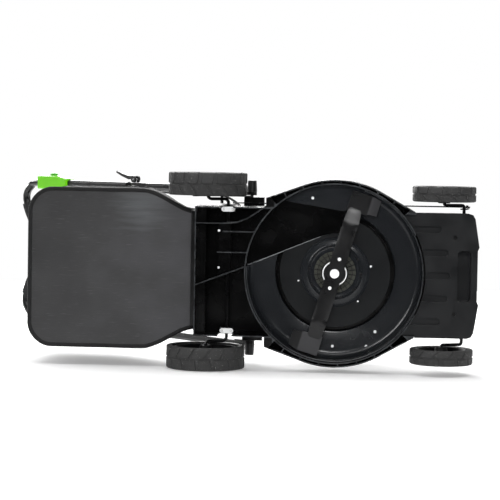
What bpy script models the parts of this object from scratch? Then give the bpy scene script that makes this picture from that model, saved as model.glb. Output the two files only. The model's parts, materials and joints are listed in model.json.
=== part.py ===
"""Cordless rear-discharge lawn mower with grass bag and folding handle, in metres.

+X is forward, +Y is the operator's left, +Z is up and the wheels stand on z = 0. Places along the
machine are measured from the blade's axis, which stands at HUB_X, so that the origin is its middle.
Places along the handle are measured in the handle's own frame: u up the tubes from the lower pivot,
v to the operator's right, w up and forward, square to the tubes.
"""

import math

import bmesh
import bpy
from mathutils import Matrix, Vector

# General
HUB_X = 0.2828
GAP = 0.0003
RUNNING = 0.0003
OVERLAP = 0.001

# Sizes that the rest follows: blade, deck and handle widths, and the handle's joint up the tubes
BLADE_REACH = 0.203
REAR_HALF = 0.1535
NOSE_HALF = 0.1475
HANDLE_HALF = 0.190
JOINT_U = 0.482

# Blade chamber, skirt and deck shell
SKIRT_Z = 0.040
DECK_TOP = 0.145
PLASTIC = 0.003
BLADE_CLEARANCE = 0.0075
RIM_INNER = BLADE_REACH + BLADE_CLEARANCE
RIM_WALL = 0.003
SKIRT_RADIUS = RIM_INNER + RIM_WALL + 0.008
FLANGE_FRONT_RADIUS = SKIRT_RADIUS + 0.01825
FLANGE_FRONT = (math.sqrt(FLANGE_FRONT_RADIUS**2 - NOSE_HALF**2), NOSE_HALF)
FLANGE_REAR_HALF = 0.1765
FLANGE_REAR_RADIUS = SKIRT_RADIUS + 0.01943
FLANGE_REAR = (-math.sqrt(FLANGE_REAR_RADIUS**2 - FLANGE_REAR_HALF**2), FLANGE_REAR_HALF)
SKIRT_RIBS = 7
SKIRT_RIB_FIRST = math.radians(51)
SKIRT_RIB_STEP = math.radians(12)
SKIRT_RIB_WALL = 0.0025
DISH_RADIUS = 0.137
DISH_Z = 0.118
CHAMBER_SIDES = 64

# Rear section with the discharge tunnel
REAR_X = -0.332
REAR_TOP = 0.175
REAR_MASS_X = -0.150
TUNNEL_LEFT = 0.031
TUNNEL_RIGHT = -0.113
TUNNEL_SILL = 0.054
TUNNEL_LEFT_END_Y = -0.0125
HUMP_HALF = REAR_HALF + 0.0005
TALL_WALL_X = -0.176
SILL_DEPTH = 0.0215
SILL_Z = 0.070
SILL_THICK = 0.012
TUNNEL_RIBS = ((-0.095, -0.266), (-0.046, -0.279))
TUNNEL_RIB_HEIGHT = 0.018

# Nose with the lower apron
NOSE_X = 0.339
NOSE_TOP = 0.150
APRON_Z = 0.048
APRON_THICK = 0.0097
NOSE_INSET = 0.002
GRIP_SLOT = (0.289, 0.320, 0.0595)
GRIP_DEPTH = 0.027
GRIP_CORNER = 0.0075
APRON_FLUTES = ((-0.108, 0.250), (-0.054, 0.2665), (0.0, 0.272), (0.054, 0.2665), (0.108, 0.250))
FLUTE_HALF = 0.008
FLUTE_DEPTH = 0.0015
APRON_SCREW = (0.282, 0.090)
WELL_DEPTH = 0.0038
WELL_RADIUS = 0.0055

# Volute liner
LINER_SHEET = 0.0025
LINER_INNER = DISH_RADIUS + 0.0025
LINER_OUTER = RIM_INNER - 0.001
LINER_SKIRT_Z = 0.046
LINER_LOW = 0.118
LINER_HIGH = 0.1385
LINER_START = math.radians(181)
LINER_END = math.radians(-71)
LINER_STEPS = 36
STRIP_START = math.radians(234.69)
STRIP_END = (0.0186, -0.1457)

# Motor and blade
BLADE_Z = 0.0502
BLADE_SHEET = 0.0035
BLADE_WIDTH = 0.037
BLADE_BAR = 0.139
BLADE_RISE = 0.0115
BLADE_WING = 0.022
BLADE_ANGLE = math.radians(-75.3)
PIN_CIRCLE = 0.036
PIN_RADIUS = 0.0045
PIN_LEAD = math.radians(2)
SHAFT_RADIUS = 0.006
SHAFT_TOP = 0.1997
BOLT_RADIUS = 0.004
WASHER_RADIUS = 0.011
ADAPTER_RADIUS = 0.020
ADAPTER_FLANGE = 0.042
ADAPTER_TOP = 0.1085
BASE_RADIUS = 0.083
BASE_THICK = 0.0085
BASE_SLOTS = 6
BASE_SLOT = math.radians(44)
CAN_RADIUS = 0.072
CAN_WALL = 0.003
CAN_TOP = 0.203
ROTOR_RADIUS = 0.055
ROTOR_Z = (0.136, 0.186)

# Axles, cranks and wheels, each wheel with its radius, inner face and outer face
AXLE_RADIUS = 0.004
CRANK_ARM = 0.0535
CRANK_DROP = 0.023
REAR_PIVOT = (-0.258, 0.117)
FRONT_PIVOT = (0.3035, 0.098)
EAR_THICK = 0.003
EAR_INNER = max(REAR_HALF, NOSE_HALF) + 0.0015
EAR_Y = (-EAR_INNER - EAR_THICK, -EAR_INNER)
REAR_CRANK_Y = EAR_INNER + 0.0155
FRONT_CRANK_Y = EAR_INNER + 0.0105
REAR_BEND = 0.010
FRONT_BEND = 0.006
LEVER_BEND = 0.010
HUB_PROUD = 0.003
REAR_WHEEL_INNER = max(REAR_CRANK_Y + 0.0125, HANDLE_HALF - 0.007)
REAR_WHEEL = (0.094, REAR_WHEEL_INNER, REAR_WHEEL_INNER + 0.051)
FRONT_WHEEL = (0.075, FRONT_CRANK_Y + 0.0078, FRONT_CRANK_Y + 0.0450)
TYRE_DEPTH = 0.014
TYRE_STEPS = 32
RIM_STEPS = 18
CAP_RADIUS = 0.029
CLAMP_HALF = 0.0165
CLAMP_THICK = 0.002
CLAMP_PITCH = 0.0105
SEAT_DEPTH = 0.0135

# Cutting height linkage on the right side
EAR_ARM = 0.075
EAR_ANGLE = math.radians(81.5)
LINK_THICK = 0.003
LINK_PIN = 0.003
LINK_PIN_CLEARANCE = 0.0015
LEVER_ARM = 0.085
LEVER_ANGLE = math.radians(105)
LEVER_Y = -(REAR_WHEEL[2] - 0.009)
LEVER_RADIUS = 0.004
LEVER_TIP = (-0.238, 0.272)
GRIP_RADIUS = 0.009
GRIP_LENGTH = 0.055
SECTOR_RADII = (0.0905, 0.1035)
SECTOR_SPAN = (math.radians(58), math.radians(152))
SECTOR_STEPS = 16
SECTOR_NOTCHES = 5
SECTOR_NOTCH_FIRST = math.radians(76)
SECTOR_NOTCH_PITCH = math.radians(15)
NOTCH_DEPTH = 0.004

# Handle
HANDLE_ANGLE = math.radians(47)
HANDLE_PIVOT = (-0.208, 0.222)
TUBE_RADIUS = 0.0105
HANDLE_END = 1.012
LAP_ROOT = 0.030
LAP_LENGTH = 0.045
LAP_RADIUS = 0.012
LAP_SHEET = 0.0082
JOINT_BOLT = 0.003
BASE_LAP_Y = HANDLE_HALF - 0.0117
BRACKET_Y = (BASE_LAP_Y - 0.0128, BASE_LAP_Y - 0.0043)
SECTOR_Y = (-(BASE_LAP_Y - 0.001), -(BASE_LAP_Y - 0.004))
BRACKET_X = (-0.226, -0.176)
BRACKET_FOOT_Y = (REAR_HALF - 0.020, REAR_HALF - 0.0035)
BRACKET_BRIDGE_Z = (0.2015, 0.2095)
BRACKET_BOLT = 0.0045
KNOB_RADIUS = 0.0125
KNOB_DEPTH = 0.0275
CAM_RADIUS = 0.009
CAM_AXIS_Y = HANDLE_HALF + 0.0178
CAM_PIN = 0.002
CAM_LEVER = 0.075
CAM_SLOT = 0.0036
CROSSBAR_DIP = 0.047
SLEEVE_RADIUS = 0.0145
SLEEVE_HALF = HANDLE_HALF - 0.062
SWITCH_U = (0.830, 0.953)
SWITCH_V = (HANDLE_HALF - 0.0115, HANDLE_HALF + 0.0205)
SWITCH_W = 0.016
SWITCH_TAIL = 0.045
BUTTON_U = 0.866
BUTTON_RADIUS = 0.011
BUTTON_PROUD = 0.006
BAIL_U = 0.885
BAIL_RADIUS = 0.004
BAIL_REACH = 0.092
BAIL_TILT = math.radians(42)
BAIL_HALF = HANDLE_HALF - 0.024
CABLE_RADIUS = 0.003
CABLE_STEPS = 4

# Hood, battery and electronics
HOOD_Z = (0.143, 0.300)
HOOD_FOOT = (-0.165, 0.205, 0.128)
HOOD_ROOF = (-0.118, 0.118, 0.088)
HOOD_WALL = 0.003
HOOD_SIDES = 28
BAY = (-0.085, 0.095, 0.055)
BATTERY = (-0.080, 0.058, 0.048)
BATTERY_Z = (0.2085, 0.276)
TRAY_Z = 0.2035
KEY_X = (0.068, 0.084)
KEY_HALF = 0.018
BOARD_X = (0.088, 0.160)
BOARD_HALF = 0.060
BOARD_HEIGHT = 0.032
LID_THICK = 0.006
LID_MARGIN = 0.010

# Rear flap and grass bag
FLAP_PIVOT = (-0.326, 0.186)
FLAP_HALF = REAR_HALF - 0.008
FLAP_LENGTH = 0.145
FLAP_THICK = 0.004
FLAP_ANGLE = math.radians(41.5)
HINGE_ROD = 0.003
BAG_FRONT = -0.345
BAG_REAR = -0.744
BAG_HALF = 0.193
BAG_NECK = REAR_HALF - 0.009
BAG_FLOOR = 0.105
BAG_PANEL = 0.006
BAG_CLOTH = 0.003
BAG_CORNER = 0.042
BAG_CREST = (-0.600, 0.376)
BAG_LID = (
    (BAG_FRONT, 0.180),
    (-0.470, 0.300),
    (-0.540, 0.357),
    BAG_CREST,
    (-0.700, BAG_CREST[1]),
    (BAG_REAR, 0.352),
)
LID_SHEET = 0.004
LID_GRIP_HALF = 0.054
LID_GRIP_WIDTH = 0.024
LID_GRIP_RISE = 0.036
LID_GRIP_BAND = 0.008
MOUTH_Z = (0.088, 0.178)
FRAME_BAND = 0.007

TURN = 2 * math.pi
PARTS = None
TOOLS = None


# Scene and bookkeeping
def clear_scene():
    for obj in list(bpy.data.objects):
        bpy.data.objects.remove(obj, do_unlink=True)


def new_collection(name):
    collection = bpy.data.collections.new(name)
    bpy.context.scene.collection.children.link(collection)
    return collection


def material(name, colour, roughness, metallic=0.0):
    finish = bpy.data.materials.new(name)
    finish.use_nodes = True
    shader = finish.node_tree.nodes["Principled BSDF"]
    shader.inputs["Base Color"].default_value = (*colour, 1.0)
    shader.inputs["Roughness"].default_value = roughness
    shader.inputs["Metallic"].default_value = metallic
    return finish


def empty(name, location=(0, 0, 0), parent=None, rotation=None):
    """A joint axis or a frame, placed in its parent's own coordinates."""
    axis = bpy.data.objects.new(name, None)
    axis.empty_display_size = 0.03
    PARTS.objects.link(axis)
    axis.parent = parent
    axis.location = location
    if rotation is not None:
        axis.rotation_euler = rotation.to_euler()
    return axis


def hold(obj, body, finish):
    """Makes obj a piece of a body, with its shape given in the frame that the body's axis stands in."""
    for collection in list(obj.users_collection):
        collection.objects.unlink(obj)
    PARTS.objects.link(obj)
    obj.parent = body
    obj.matrix_parent_inverse = Matrix.Translation(-body.location)
    obj.data.materials.clear()
    obj.data.materials.append(finish)
    return obj


def combine(target, tool, operation):
    for collection in list(tool.users_collection):
        collection.objects.unlink(tool)
    TOOLS.objects.link(tool)
    tool.parent = target.parent
    tool.matrix_parent_inverse = target.matrix_parent_inverse
    tool.hide_render = True
    tool.display_type = "WIRE"
    modifier = target.modifiers.new(tool.name, "BOOLEAN")
    modifier.operation = operation
    modifier.object = tool
    modifier.solver = "EXACT"


def cut(target, *tools):
    for tool in tools:
        combine(target, tool, "DIFFERENCE")


def join(target, *tools):
    for tool in tools:
        combine(target, tool, "UNION")


def keep_inside(target, tool):
    combine(target, tool, "INTERSECT")


def soften(obj, width, segments=2):
    modifier = obj.modifiers.new("soft_edges", "BEVEL")
    modifier.width = width
    modifier.segments = segments
    modifier.limit_method = "ANGLE"
    modifier.angle_limit = math.radians(40)
    return obj


# Shapes
def object_of(name, mesh):
    obj = bpy.data.objects.new(name, mesh)
    bpy.context.scene.collection.objects.link(obj)
    return obj


def finish_mesh(name, shape):
    mesh = bpy.data.meshes.new(name)
    shape.to_mesh(mesh)
    shape.free()
    return mesh


def block(name, low, high):
    low = Vector(low)
    high = Vector(high)
    shape = bmesh.new()
    bmesh.ops.create_cube(shape, size=1.0)
    bmesh.ops.scale(shape, vec=high - low, verts=shape.verts)
    obj = object_of(name, finish_mesh(name, shape))
    obj.location = (low + high) / 2
    return obj


def rod(name, start, end, radius, sides=16, end_radius=None):
    start = Vector(start)
    end = Vector(end)
    shape = bmesh.new()
    bmesh.ops.create_cone(
        shape,
        cap_ends=True,
        segments=sides,
        radius1=radius,
        radius2=radius if end_radius is None else end_radius,
        depth=(end - start).length,
    )
    mesh = finish_mesh(name, shape)
    mesh.shade_smooth()
    mesh.set_sharp_from_angle(angle=math.radians(35))
    obj = object_of(name, mesh)
    obj.location = (start + end) / 2
    obj.rotation_euler = (end - start).to_track_quat("Z", "Y").to_euler()
    return obj


def turned(name, profile, steps, at=(0, 0, 0), axis="Z", closed=True, phase=0.0):
    """Turns (radius, height) points, listed down the outer side, about an axis through the point at."""
    mesh = bpy.data.meshes.new(name)
    points = [(r * math.cos(phase), r * math.sin(phase), h) for r, h in profile]
    edges = [(n, n + 1) for n in range(len(points) - 1)]
    if closed:
        edges.append((len(points) - 1, 0))
    mesh.from_pydata(points, edges, [])
    obj = object_of(name, mesh)
    obj.location = at
    if axis == "Y":
        obj.rotation_euler = (-math.pi / 2, 0, 0)
    if axis == "-Y":
        obj.rotation_euler = (math.pi / 2, 0, 0)
    screw = obj.modifiers.new("turning", "SCREW")
    screw.steps = steps
    screw.render_steps = steps
    screw.use_merge_vertices = True
    screw.merge_threshold = 0.00001
    screw.use_smooth_shade = False
    return obj


def as_mesh(curve):
    """Replaces a curve object by the mesh that it shows, with its caps welded."""
    bpy.context.view_layer.update()
    shown = curve.evaluated_get(bpy.context.evaluated_depsgraph_get())
    mesh = bpy.data.meshes.new_from_object(shown)
    shape = bmesh.new()
    shape.from_mesh(mesh)
    bmesh.ops.remove_doubles(shape, verts=shape.verts, dist=0.000001)
    shape.to_mesh(mesh)
    shape.free()
    name = curve.name
    location = curve.location.copy()
    rotation = curve.rotation_euler.copy()
    bpy.data.objects.remove(curve, do_unlink=True)
    obj = object_of(name, mesh)
    obj.location = location
    obj.rotation_euler = rotation
    return obj


def extrusion(name, loops, low, high, plane="XY"):
    """Flat outlines with holes, given in a plane and extruded from low to high along its normal."""
    data = bpy.data.curves.new(name, "CURVE")
    data.dimensions = "2D"
    data.fill_mode = "BOTH"
    data.extrude = (high - low) / 2
    for loop in loops:
        spline = data.splines.new("POLY")
        spline.points.add(len(loop) - 1)
        for point, (x, y) in zip(spline.points, loop):
            point.co = (x, y, 0, 1)
        spline.use_cyclic_u = True
    obj = object_of(name, data)
    middle = (low + high) / 2
    if plane == "XY":
        obj.location = (0, 0, middle)
    if plane == "XZ":
        obj.location = (0, middle, 0)
        obj.rotation_euler = (math.pi / 2, 0, 0)
    if plane == "YZ":
        obj.location = (middle, 0, 0)
        obj.rotation_euler = (math.pi / 2, 0, math.pi / 2)
    return as_mesh(obj)


def sweep(name, points, radius, resolution=2):
    """A round bar along points."""
    data = bpy.data.curves.new(name, "CURVE")
    data.dimensions = "3D"
    data.bevel_depth = radius
    data.bevel_resolution = resolution
    data.use_fill_caps = True
    spline = data.splines.new("POLY")
    spline.points.add(len(points) - 1)
    for point, place in zip(spline.points, points):
        point.co = (*place, 1)
    return object_of(name, data)


def arc(centre, radius, start, end, count):
    """Points on an arc from one angle to another, both ends included."""
    angles = [start + (end - start) * n / (count - 1) for n in range(count)]
    return [(centre[0] + radius * math.cos(a), centre[1] + radius * math.sin(a)) for a in angles]


def circle(centre, radius, count):
    return arc(centre, radius, 0, TURN * (count - 1) / count, count)


def stadium(x0, x1, y, half):
    right = arc((x1 - half, y), half, -math.pi / 2, math.pi / 2, 9)
    return [(x0, y - half)] + right + [(x0, y + half)]


def rounded(points, radius, count=4):
    """A path through 3D points with its inner corners rounded."""
    path = [Vector(points[0])]
    for before, corner, after in zip(points, points[1:], points[2:]):
        corner = Vector(corner)
        into = (corner - Vector(before)).normalized()
        out = (Vector(after) - corner).normalized()
        turn = into.angle(out)
        reach = radius * math.tan(turn / 2)
        start = corner - into * reach
        across = (out - into).normalized()
        centre = corner + across * (radius / math.cos(turn / 2))
        arm = start - centre
        normal = into.cross(out).normalized()
        for n in range(count + 1):
            path.append(centre + Matrix.Rotation(turn * n / count, 3, normal) @ arm)
    path.append(Vector(points[-1]))
    return path


def smooth(points, count):
    """A smooth curve through 3D points, read at a number of places evenly spread along each stretch."""
    knots = [Vector(p) for p in points]
    knots = [2 * knots[0] - knots[1]] + knots + [2 * knots[-1] - knots[-2]]
    path = []
    for a, b, c, d in zip(knots, knots[1:], knots[2:], knots[3:]):
        for n in range(count):
            t = n / count
            bend = (2 * a - 5 * b + 4 * c - d) * t * t + (3 * b - a - 3 * c + d) * t * t * t
            path.append((2 * b + (c - a) * t + bend) / 2)
    path.append(knots[-2])
    return path


def wrapped(circles, count=16):
    """The outline that a tight band round several circles would take."""
    points = []
    for centre, radius in circles:
        points += circle(centre, radius, count)
    points = sorted(set(points))

    def chain(run):
        kept = []
        for p in run:
            while len(kept) > 1:
                a, b = kept[-2], kept[-1]
                if (b[0] - a[0]) * (p[1] - a[1]) - (b[1] - a[1]) * (p[0] - a[0]) > 1e-12:
                    break
                kept.pop()
            kept.append(p)
        return kept[:-1]

    return chain(points) + chain(points[::-1])


def wall(name, path, thickness, low, high):
    """An upright wall of even thickness along a path in plan."""
    half = thickness / 2
    sides = ([], [])
    for n, point in enumerate(path):
        before = Vector(path[max(n - 1, 0)])
        after = Vector(path[min(n + 1, len(path) - 1)])
        along = (after - before).normalized()
        across = Vector((-along.y, along.x)) * half
        sides[0].append(tuple(Vector(point) + across))
        sides[1].append(tuple(Vector(point) - across))
    return extrusion(name, [sides[0] + sides[1][::-1]], low, high)


def loft(name, rings, closed_top=True, closed_bottom=True):
    """Faces between rings of equal counts of points, listed from the bottom up, each anticlockwise."""
    shape = bmesh.new()
    rows = [[shape.verts.new(point) for point in ring] for ring in rings]
    for lower, upper in zip(rows, rows[1:]):
        for n in range(len(lower)):
            m = (n + 1) % len(lower)
            shape.faces.new((lower[n], lower[m], upper[m], upper[n]))
    if closed_top:
        shape.faces.new(rows[-1])
    if closed_bottom:
        shape.faces.new(rows[0][::-1])
    return object_of(name, finish_mesh(name, shape))


# Outlines that several pieces share
def flange_radius(angle, inset=0.0):
    """Distance from the blade's axis to the skirt: a circle with a straight tangent to each of its ends."""
    angle = abs(angle)
    radius = SKIRT_RADIUS - inset
    front = math.atan2(FLANGE_FRONT[1], FLANGE_FRONT[0]) + math.acos(SKIRT_RADIUS / FLANGE_FRONT_RADIUS)
    rear = math.atan2(FLANGE_REAR[1], FLANGE_REAR[0]) - math.acos(SKIRT_RADIUS / FLANGE_REAR_RADIUS)
    if angle < front:
        return radius / math.cos(front - angle)
    if angle > rear:
        return radius / math.cos(angle - rear)
    return radius


def flange_points(start, end, inset, count):
    angles = [start + (end - start) * n / (count - 1) for n in range(count)]
    return [(flange_radius(a, inset) * math.cos(a), flange_radius(a, inset) * math.sin(a)) for a in angles]


def nose_outline(inset, rear):
    """Half outline of the nose from the rear on the right to the middle, then mirrored to the left."""
    half = [
        (rear, NOSE_HALF - inset),
        (NOSE_X - 0.027, NOSE_HALF - inset),
        (NOSE_X - 0.016 - inset * 0.7, NOSE_HALF - 0.0035 - inset * 0.7),
        (NOSE_X - 0.0105 - inset, NOSE_HALF - 0.0135),
        (NOSE_X - inset, 0.068),
        (NOSE_X - 0.0035 - inset, 0.060),
    ]
    return [(x, -y) for x, y in half] + half[::-1]


def tunnel_right_wall(offset=0.0):
    """Path in plan of the tunnel's right wall, from the rear edge to the chamber."""
    into_chamber = [
        polar((0, 0), RIM_INNER + 0.0322, math.radians(211.0)),
        polar((0, 0), RIM_INNER + 0.0223, math.radians(217.0)),
        polar((0, 0), RIM_INNER + 0.0144, math.radians(224.6)),
    ]
    return [
        (REAR_X + 0.002, TUNNEL_RIGHT - offset),
        (-0.262, TUNNEL_RIGHT - offset),
        (-0.232, TUNNEL_RIGHT - 0.003 - offset),
        *[(x, y - offset) for x, y in into_chamber],
    ]


def tunnel_left_end():
    """Where the tunnel's left wall meets the chamber's rim."""
    return (-math.sqrt((RIM_INNER + 0.0024) ** 2 - TUNNEL_LEFT_END_Y**2), TUNNEL_LEFT_END_Y)


def crank_end(pivot):
    """Wheel centre of a crank that lies behind its pivot."""
    return (pivot[0] - math.sqrt(CRANK_ARM**2 - CRANK_DROP**2), pivot[1] - CRANK_DROP)


def polar(centre, radius, angle):
    return (centre[0] + radius * math.cos(angle), centre[1] + radius * math.sin(angle))


# Deck
def make_deck(body, finish):
    front = math.atan2(FLANGE_FRONT[1], FLANGE_FRONT[0])
    rear = math.atan2(FLANGE_REAR[1], FLANGE_REAR[0])
    skirt = flange_points(front, rear, 0.0, 40)
    outline = skirt + [(x, -y) for x, y in skirt[::-1]]
    deck = hold(extrusion("deck_shell", [outline], SKIRT_Z, DECK_TOP), body, finish)
    join(
        deck,
        block("rear_mass", (REAR_X, -REAR_HALF, SKIRT_Z), (REAR_MASS_X, REAR_HALF, REAR_TOP)),
        extrusion("nose_mass", [nose_outline(NOSE_INSET, 0.120)], APRON_Z + APRON_THICK + GAP, NOSE_TOP),
    )
    pocket_ends = ((0, 0, DISH_Z + PLASTIC), (0, 0, DECK_TOP + 0.05))
    cut(deck, rod("dish_pocket", *pocket_ends, DISH_RADIUS - PLASTIC, CHAMBER_SIDES))
    join(deck, extrusion("tunnel_hump", [tunnel_hump()], DISH_Z + 0.0015, REAR_TOP))
    chamber = [
        (0, DISH_Z),
        (DISH_RADIUS, DISH_Z),
        (DISH_RADIUS, DECK_TOP - PLASTIC),
        (RIM_INNER, DECK_TOP - PLASTIC),
        (RIM_INNER, 0),
        (0, 0),
    ]
    cut(deck, turned("chamber_space", chamber, CHAMBER_SIDES, closed=False))
    cut(deck, extrusion("skirt_pockets", skirt_pockets(front, rear), 0, DECK_TOP - PLASTIC))
    cut(deck, extrusion("nose_space", [nose_space()], 0, NOSE_TOP - PLASTIC))
    cut(deck, extrusion("rear_space", [rear_space()], 0, REAR_TOP - PLASTIC))
    cut(deck, extrusion("tunnel_space", [tunnel_space()], TUNNEL_SILL, REAR_TOP - PLASTIC - 0.0005))
    add_tunnel_walls(deck)
    add_axle_seats(deck)
    mouth = (REAR_X - 0.01, TUNNEL_RIGHT, SILL_Z + SILL_THICK + PLASTIC)
    cut(deck, block("tunnel_mouth", mouth, (REAR_X + 0.01, TUNNEL_LEFT, REAR_TOP - PLASTIC - 0.001)))
    cut(deck, rod("shaft_hole", (0, 0, 0.1), (0, 0, 0.14), 0.010, 24))
    add_flap_ears(deck)
    return deck


def tunnel_hump():
    inner = arc((0, 0), 0.0885, math.radians(-64), math.radians(-115), 7)
    side = -HUMP_HALF
    x, y = tunnel_left_end()
    x -= 0.002
    return inner + [(x, y + 0.003), (x, side), (-0.010, side), (0.0205, -0.149), (0.0495, -0.1345)]


def tunnel_space():
    """Plan of the tall space from the chamber's right rear quarter back to the rear edge."""
    right = tunnel_right_wall()
    inner = arc((0, 0), 0.0915, math.radians(-66), math.radians(-113), 6)
    side = PLASTIC - HUMP_HALF
    into = [(-0.172, side), (-0.015, side), (0.0186, -0.146), (0.045, -0.133)]
    left = [tunnel_left_end(), (REAR_X + PLASTIC, TUNNEL_LEFT)]
    return right[1:-1] + into + inner + left + [(REAR_X + PLASTIC, TUNNEL_RIGHT)]


def skirt_pockets(front, rear):
    """Sectors between the rim and the skirt, with a rib left between each two."""
    ribs = [SKIRT_RIB_FIRST + SKIRT_RIB_STEP * n for n in range(SKIRT_RIBS)]
    edges = [front + 0.05] + ribs + [rear - 0.03]
    loops = []
    inner = RIM_INNER + RIM_WALL
    half = SKIRT_RIB_WALL / 2 / inner
    for side in (1, -1):
        for start, end in zip(edges, edges[1:]):
            a = side * (start + half)
            b = side * (end - half)
            loops.append(arc((0, 0), inner, a, b, 6) + flange_points(b, a, PLASTIC, 6))
    return loops


def nose_space():
    outline = nose_outline(NOSE_INSET + PLASTIC, 0.100)
    reach = NOSE_HALF - NOSE_INSET - PLASTIC
    radius = RIM_INNER + RIM_WALL
    angle = math.asin(reach / radius)
    return outline[1:-1] + arc((0, 0), radius, angle, -angle, 25)


def rear_space():
    half = REAR_HALF - PLASTIC
    radius = RIM_INNER + RIM_WALL
    angle = math.pi - math.asin(half / radius)
    rim = arc((0, 0), radius, angle, TURN - angle, 31)
    return [(REAR_X + PLASTIC, half)] + rim + [(REAR_X + PLASTIC, -half)]


def add_tunnel_walls(deck):
    left = [(REAR_X + 0.002, TUNNEL_LEFT + PLASTIC / 2), tunnel_left_end()]
    high = REAR_TOP - 0.001
    join(deck, wall("tunnel_left_wall", left, PLASTIC, SKIRT_Z, high))
    right = tunnel_right_wall(PLASTIC / 2)
    join(deck, wall("tunnel_right_wall", right, PLASTIC, SKIRT_Z, DECK_TOP - 0.001))
    tall = right[:-1] + [(TALL_WALL_X, PLASTIC / 2 - HUMP_HALF)]
    join(deck, wall("tunnel_tall_wall", tall, PLASTIC, DECK_TOP - 0.005, high))
    sill_low = (REAR_X + 0.001, -REAR_HALF + 0.001, SILL_Z)
    sill_high = (REAR_X + PLASTIC + SILL_DEPTH, REAR_HALF - 0.001, SILL_Z + SILL_THICK)
    join(deck, block("rear_sill", sill_low, sill_high))
    for n, (y, x) in enumerate(TUNNEL_RIBS):
        end = -math.sqrt((RIM_INNER + 0.001) ** 2 - y**2)
        top = SKIRT_Z + TUNNEL_RIB_HEIGHT
        join(deck, block(f"tunnel_rib_{n}", (x, y - 0.0013, SKIRT_Z), (end, y + 0.0013, top)))


def add_axle_seats(deck):
    """Blocks inside the side walls that the axles lie in, with a clear bore across the whole deck."""
    seats = (
        ("rear", REAR_PIVOT, REAR_HALF - 0.001),
        ("front", FRONT_PIVOT, NOSE_HALF - NOSE_INSET - 0.001),
    )
    for name, (x, z), outer in seats:
        for side in (1, -1):
            y = sorted((side * outer, side * (outer - SEAT_DEPTH)))
            low = (x - CLAMP_HALF, y[0], z - AXLE_RADIUS)
            high = (x + CLAMP_HALF, y[1], z + 0.018)
            join(deck, block(f"{name}_seat_{side}", low, high))
    for name, (x, z), outer in seats:
        cut(deck, rod(f"{name}_bore", (x, -0.25, z), (x, 0.25, z), AXLE_RADIUS + RUNNING + 0.0002, 16))
        for side in (1, -1):
            y = sorted((side * (outer + 0.005), side * (outer - SEAT_DEPTH - 0.002)))
            low = (x - CLAMP_HALF, y[0], 0)
            high = (x + CLAMP_HALF, y[1], z - AXLE_RADIUS)
            cut(deck, block(f"{name}_notch_{side}", low, high))


def add_flap_ears(deck):
    x, z = FLAP_PIVOT
    for side in (1, -1):
        y = sorted((side * (FLAP_HALF + 0.0035), side * REAR_HALF))
        plate = wrapped([((x, z), 0.007), ((x + 0.012, REAR_TOP - 0.003), 0.007)])
        join(deck, extrusion(f"flap_ear_{side}", [plate], *y, "XZ"))
    cut(deck, rod("flap_bore", (x, -0.2, z), (x, 0.2, z), HINGE_ROD + GAP, 12))


def make_liner(body, finish):
    """Spiral ceiling with an outer skirt against the rim, and a flat strip at the tunnel's side."""
    rings = []
    for n in range(LINER_STEPS + 1):
        t = n / LINER_STEPS
        angle = LINER_START + (LINER_END - LINER_START) * t
        low = LINER_LOW + (LINER_HIGH - LINER_LOW) * t
        section = [
            (LINER_INNER, low),
            (LINER_OUTER - LINER_SHEET, low),
            (LINER_OUTER - LINER_SHEET, LINER_SKIRT_Z),
            (LINER_OUTER, LINER_SKIRT_Z),
            (LINER_OUTER, low + LINER_SHEET),
            (LINER_INNER, low + LINER_SHEET),
        ]
        rings.append([(r * math.cos(angle), r * math.sin(angle), z) for r, z in section])
    liner = hold(loft("volute_liner", rings), body, finish)
    tongue = LINER_END + math.radians(3)
    rim = arc((0, 0), LINER_OUTER, tongue, STRIP_START - TURN, 16)
    corner = polar((0, 0), LINER_OUTER - 0.0036, STRIP_START)
    strip = [corner, STRIP_END, polar((0, 0), LINER_OUTER - 0.012, tongue)] + rim
    join(liner, extrusion("side_strip", [strip], LINER_LOW, LINER_LOW + LINER_SHEET))
    return liner


def screw(name, x, y, z, radius=0.0045):
    """A pan head screw seen from below, with its head's upper face at z."""
    profile = [(0, z), (radius, z), (radius, z - 0.0015), (radius * 0.6, z - 0.003), (0, z - 0.003)]
    return turned(name, profile, 10, (x, y, 0), closed=False)


def guard_bottom():
    return REAR_PIVOT[1] - AXLE_RADIUS - 0.0075


def make_axle_guard(body, finish):
    """A channel under the rear axle between the tunnel's walls."""
    z = guard_bottom()
    x0 = REAR_PIVOT[0] - 0.0215
    x1 = REAR_PIVOT[0] + 0.0080
    right = TUNNEL_RIGHT + GAP
    left = tunnel_left_end()
    slope = (TUNNEL_LEFT + PLASTIC / 2 - left[1]) / (REAR_X + 0.002 - left[0])
    inner = PLASTIC / 2 * math.hypot(1, slope) + GAP

    def end(x):
        return left[1] + slope * (x - left[0]) - inner

    plan = [(x0, right), (x1, right), (x1, end(x1)), (x0, end(x0))]
    guard = hold(extrusion("axle_guard", [plan], z, z + 0.0025), body, finish)
    for n, (a, b) in enumerate(((x0, x0 + 0.0025), (x1 - 0.0025, x1))):
        flange = [(a, right), (b, right), (b, end(b)), (a, end(a))]
        join(guard, extrusion(f"guard_flange_{n}", [flange], z, z + 0.021))
    return guard


def make_axle_clamps(body, finish):
    """Four plates that close the axle seats from below, each with its two screws."""
    seats = (("rear", REAR_PIVOT, REAR_HALF), ("front", FRONT_PIVOT, NOSE_HALF - NOSE_INSET))
    for place, (x, z), outer in seats:
        top = z - AXLE_RADIUS - GAP
        for name, side in (("left", 1), ("right", -1)):
            y = side * (outer - 0.0075)
            ends = [((x - CLAMP_PITCH, y), 0.006), ((x + CLAMP_PITCH, y), 0.006)]
            plate = extrusion(f"{place}_clamp_{name}", [wrapped(ends)], top - CLAMP_THICK, top)
            hold(plate, body, finish)
            for step in (-CLAMP_PITCH, CLAMP_PITCH):
                head = top - CLAMP_THICK + 0.0005
                join(plate, screw(f"clamp_screw_{place}_{name}", x + step, y, head))


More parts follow.
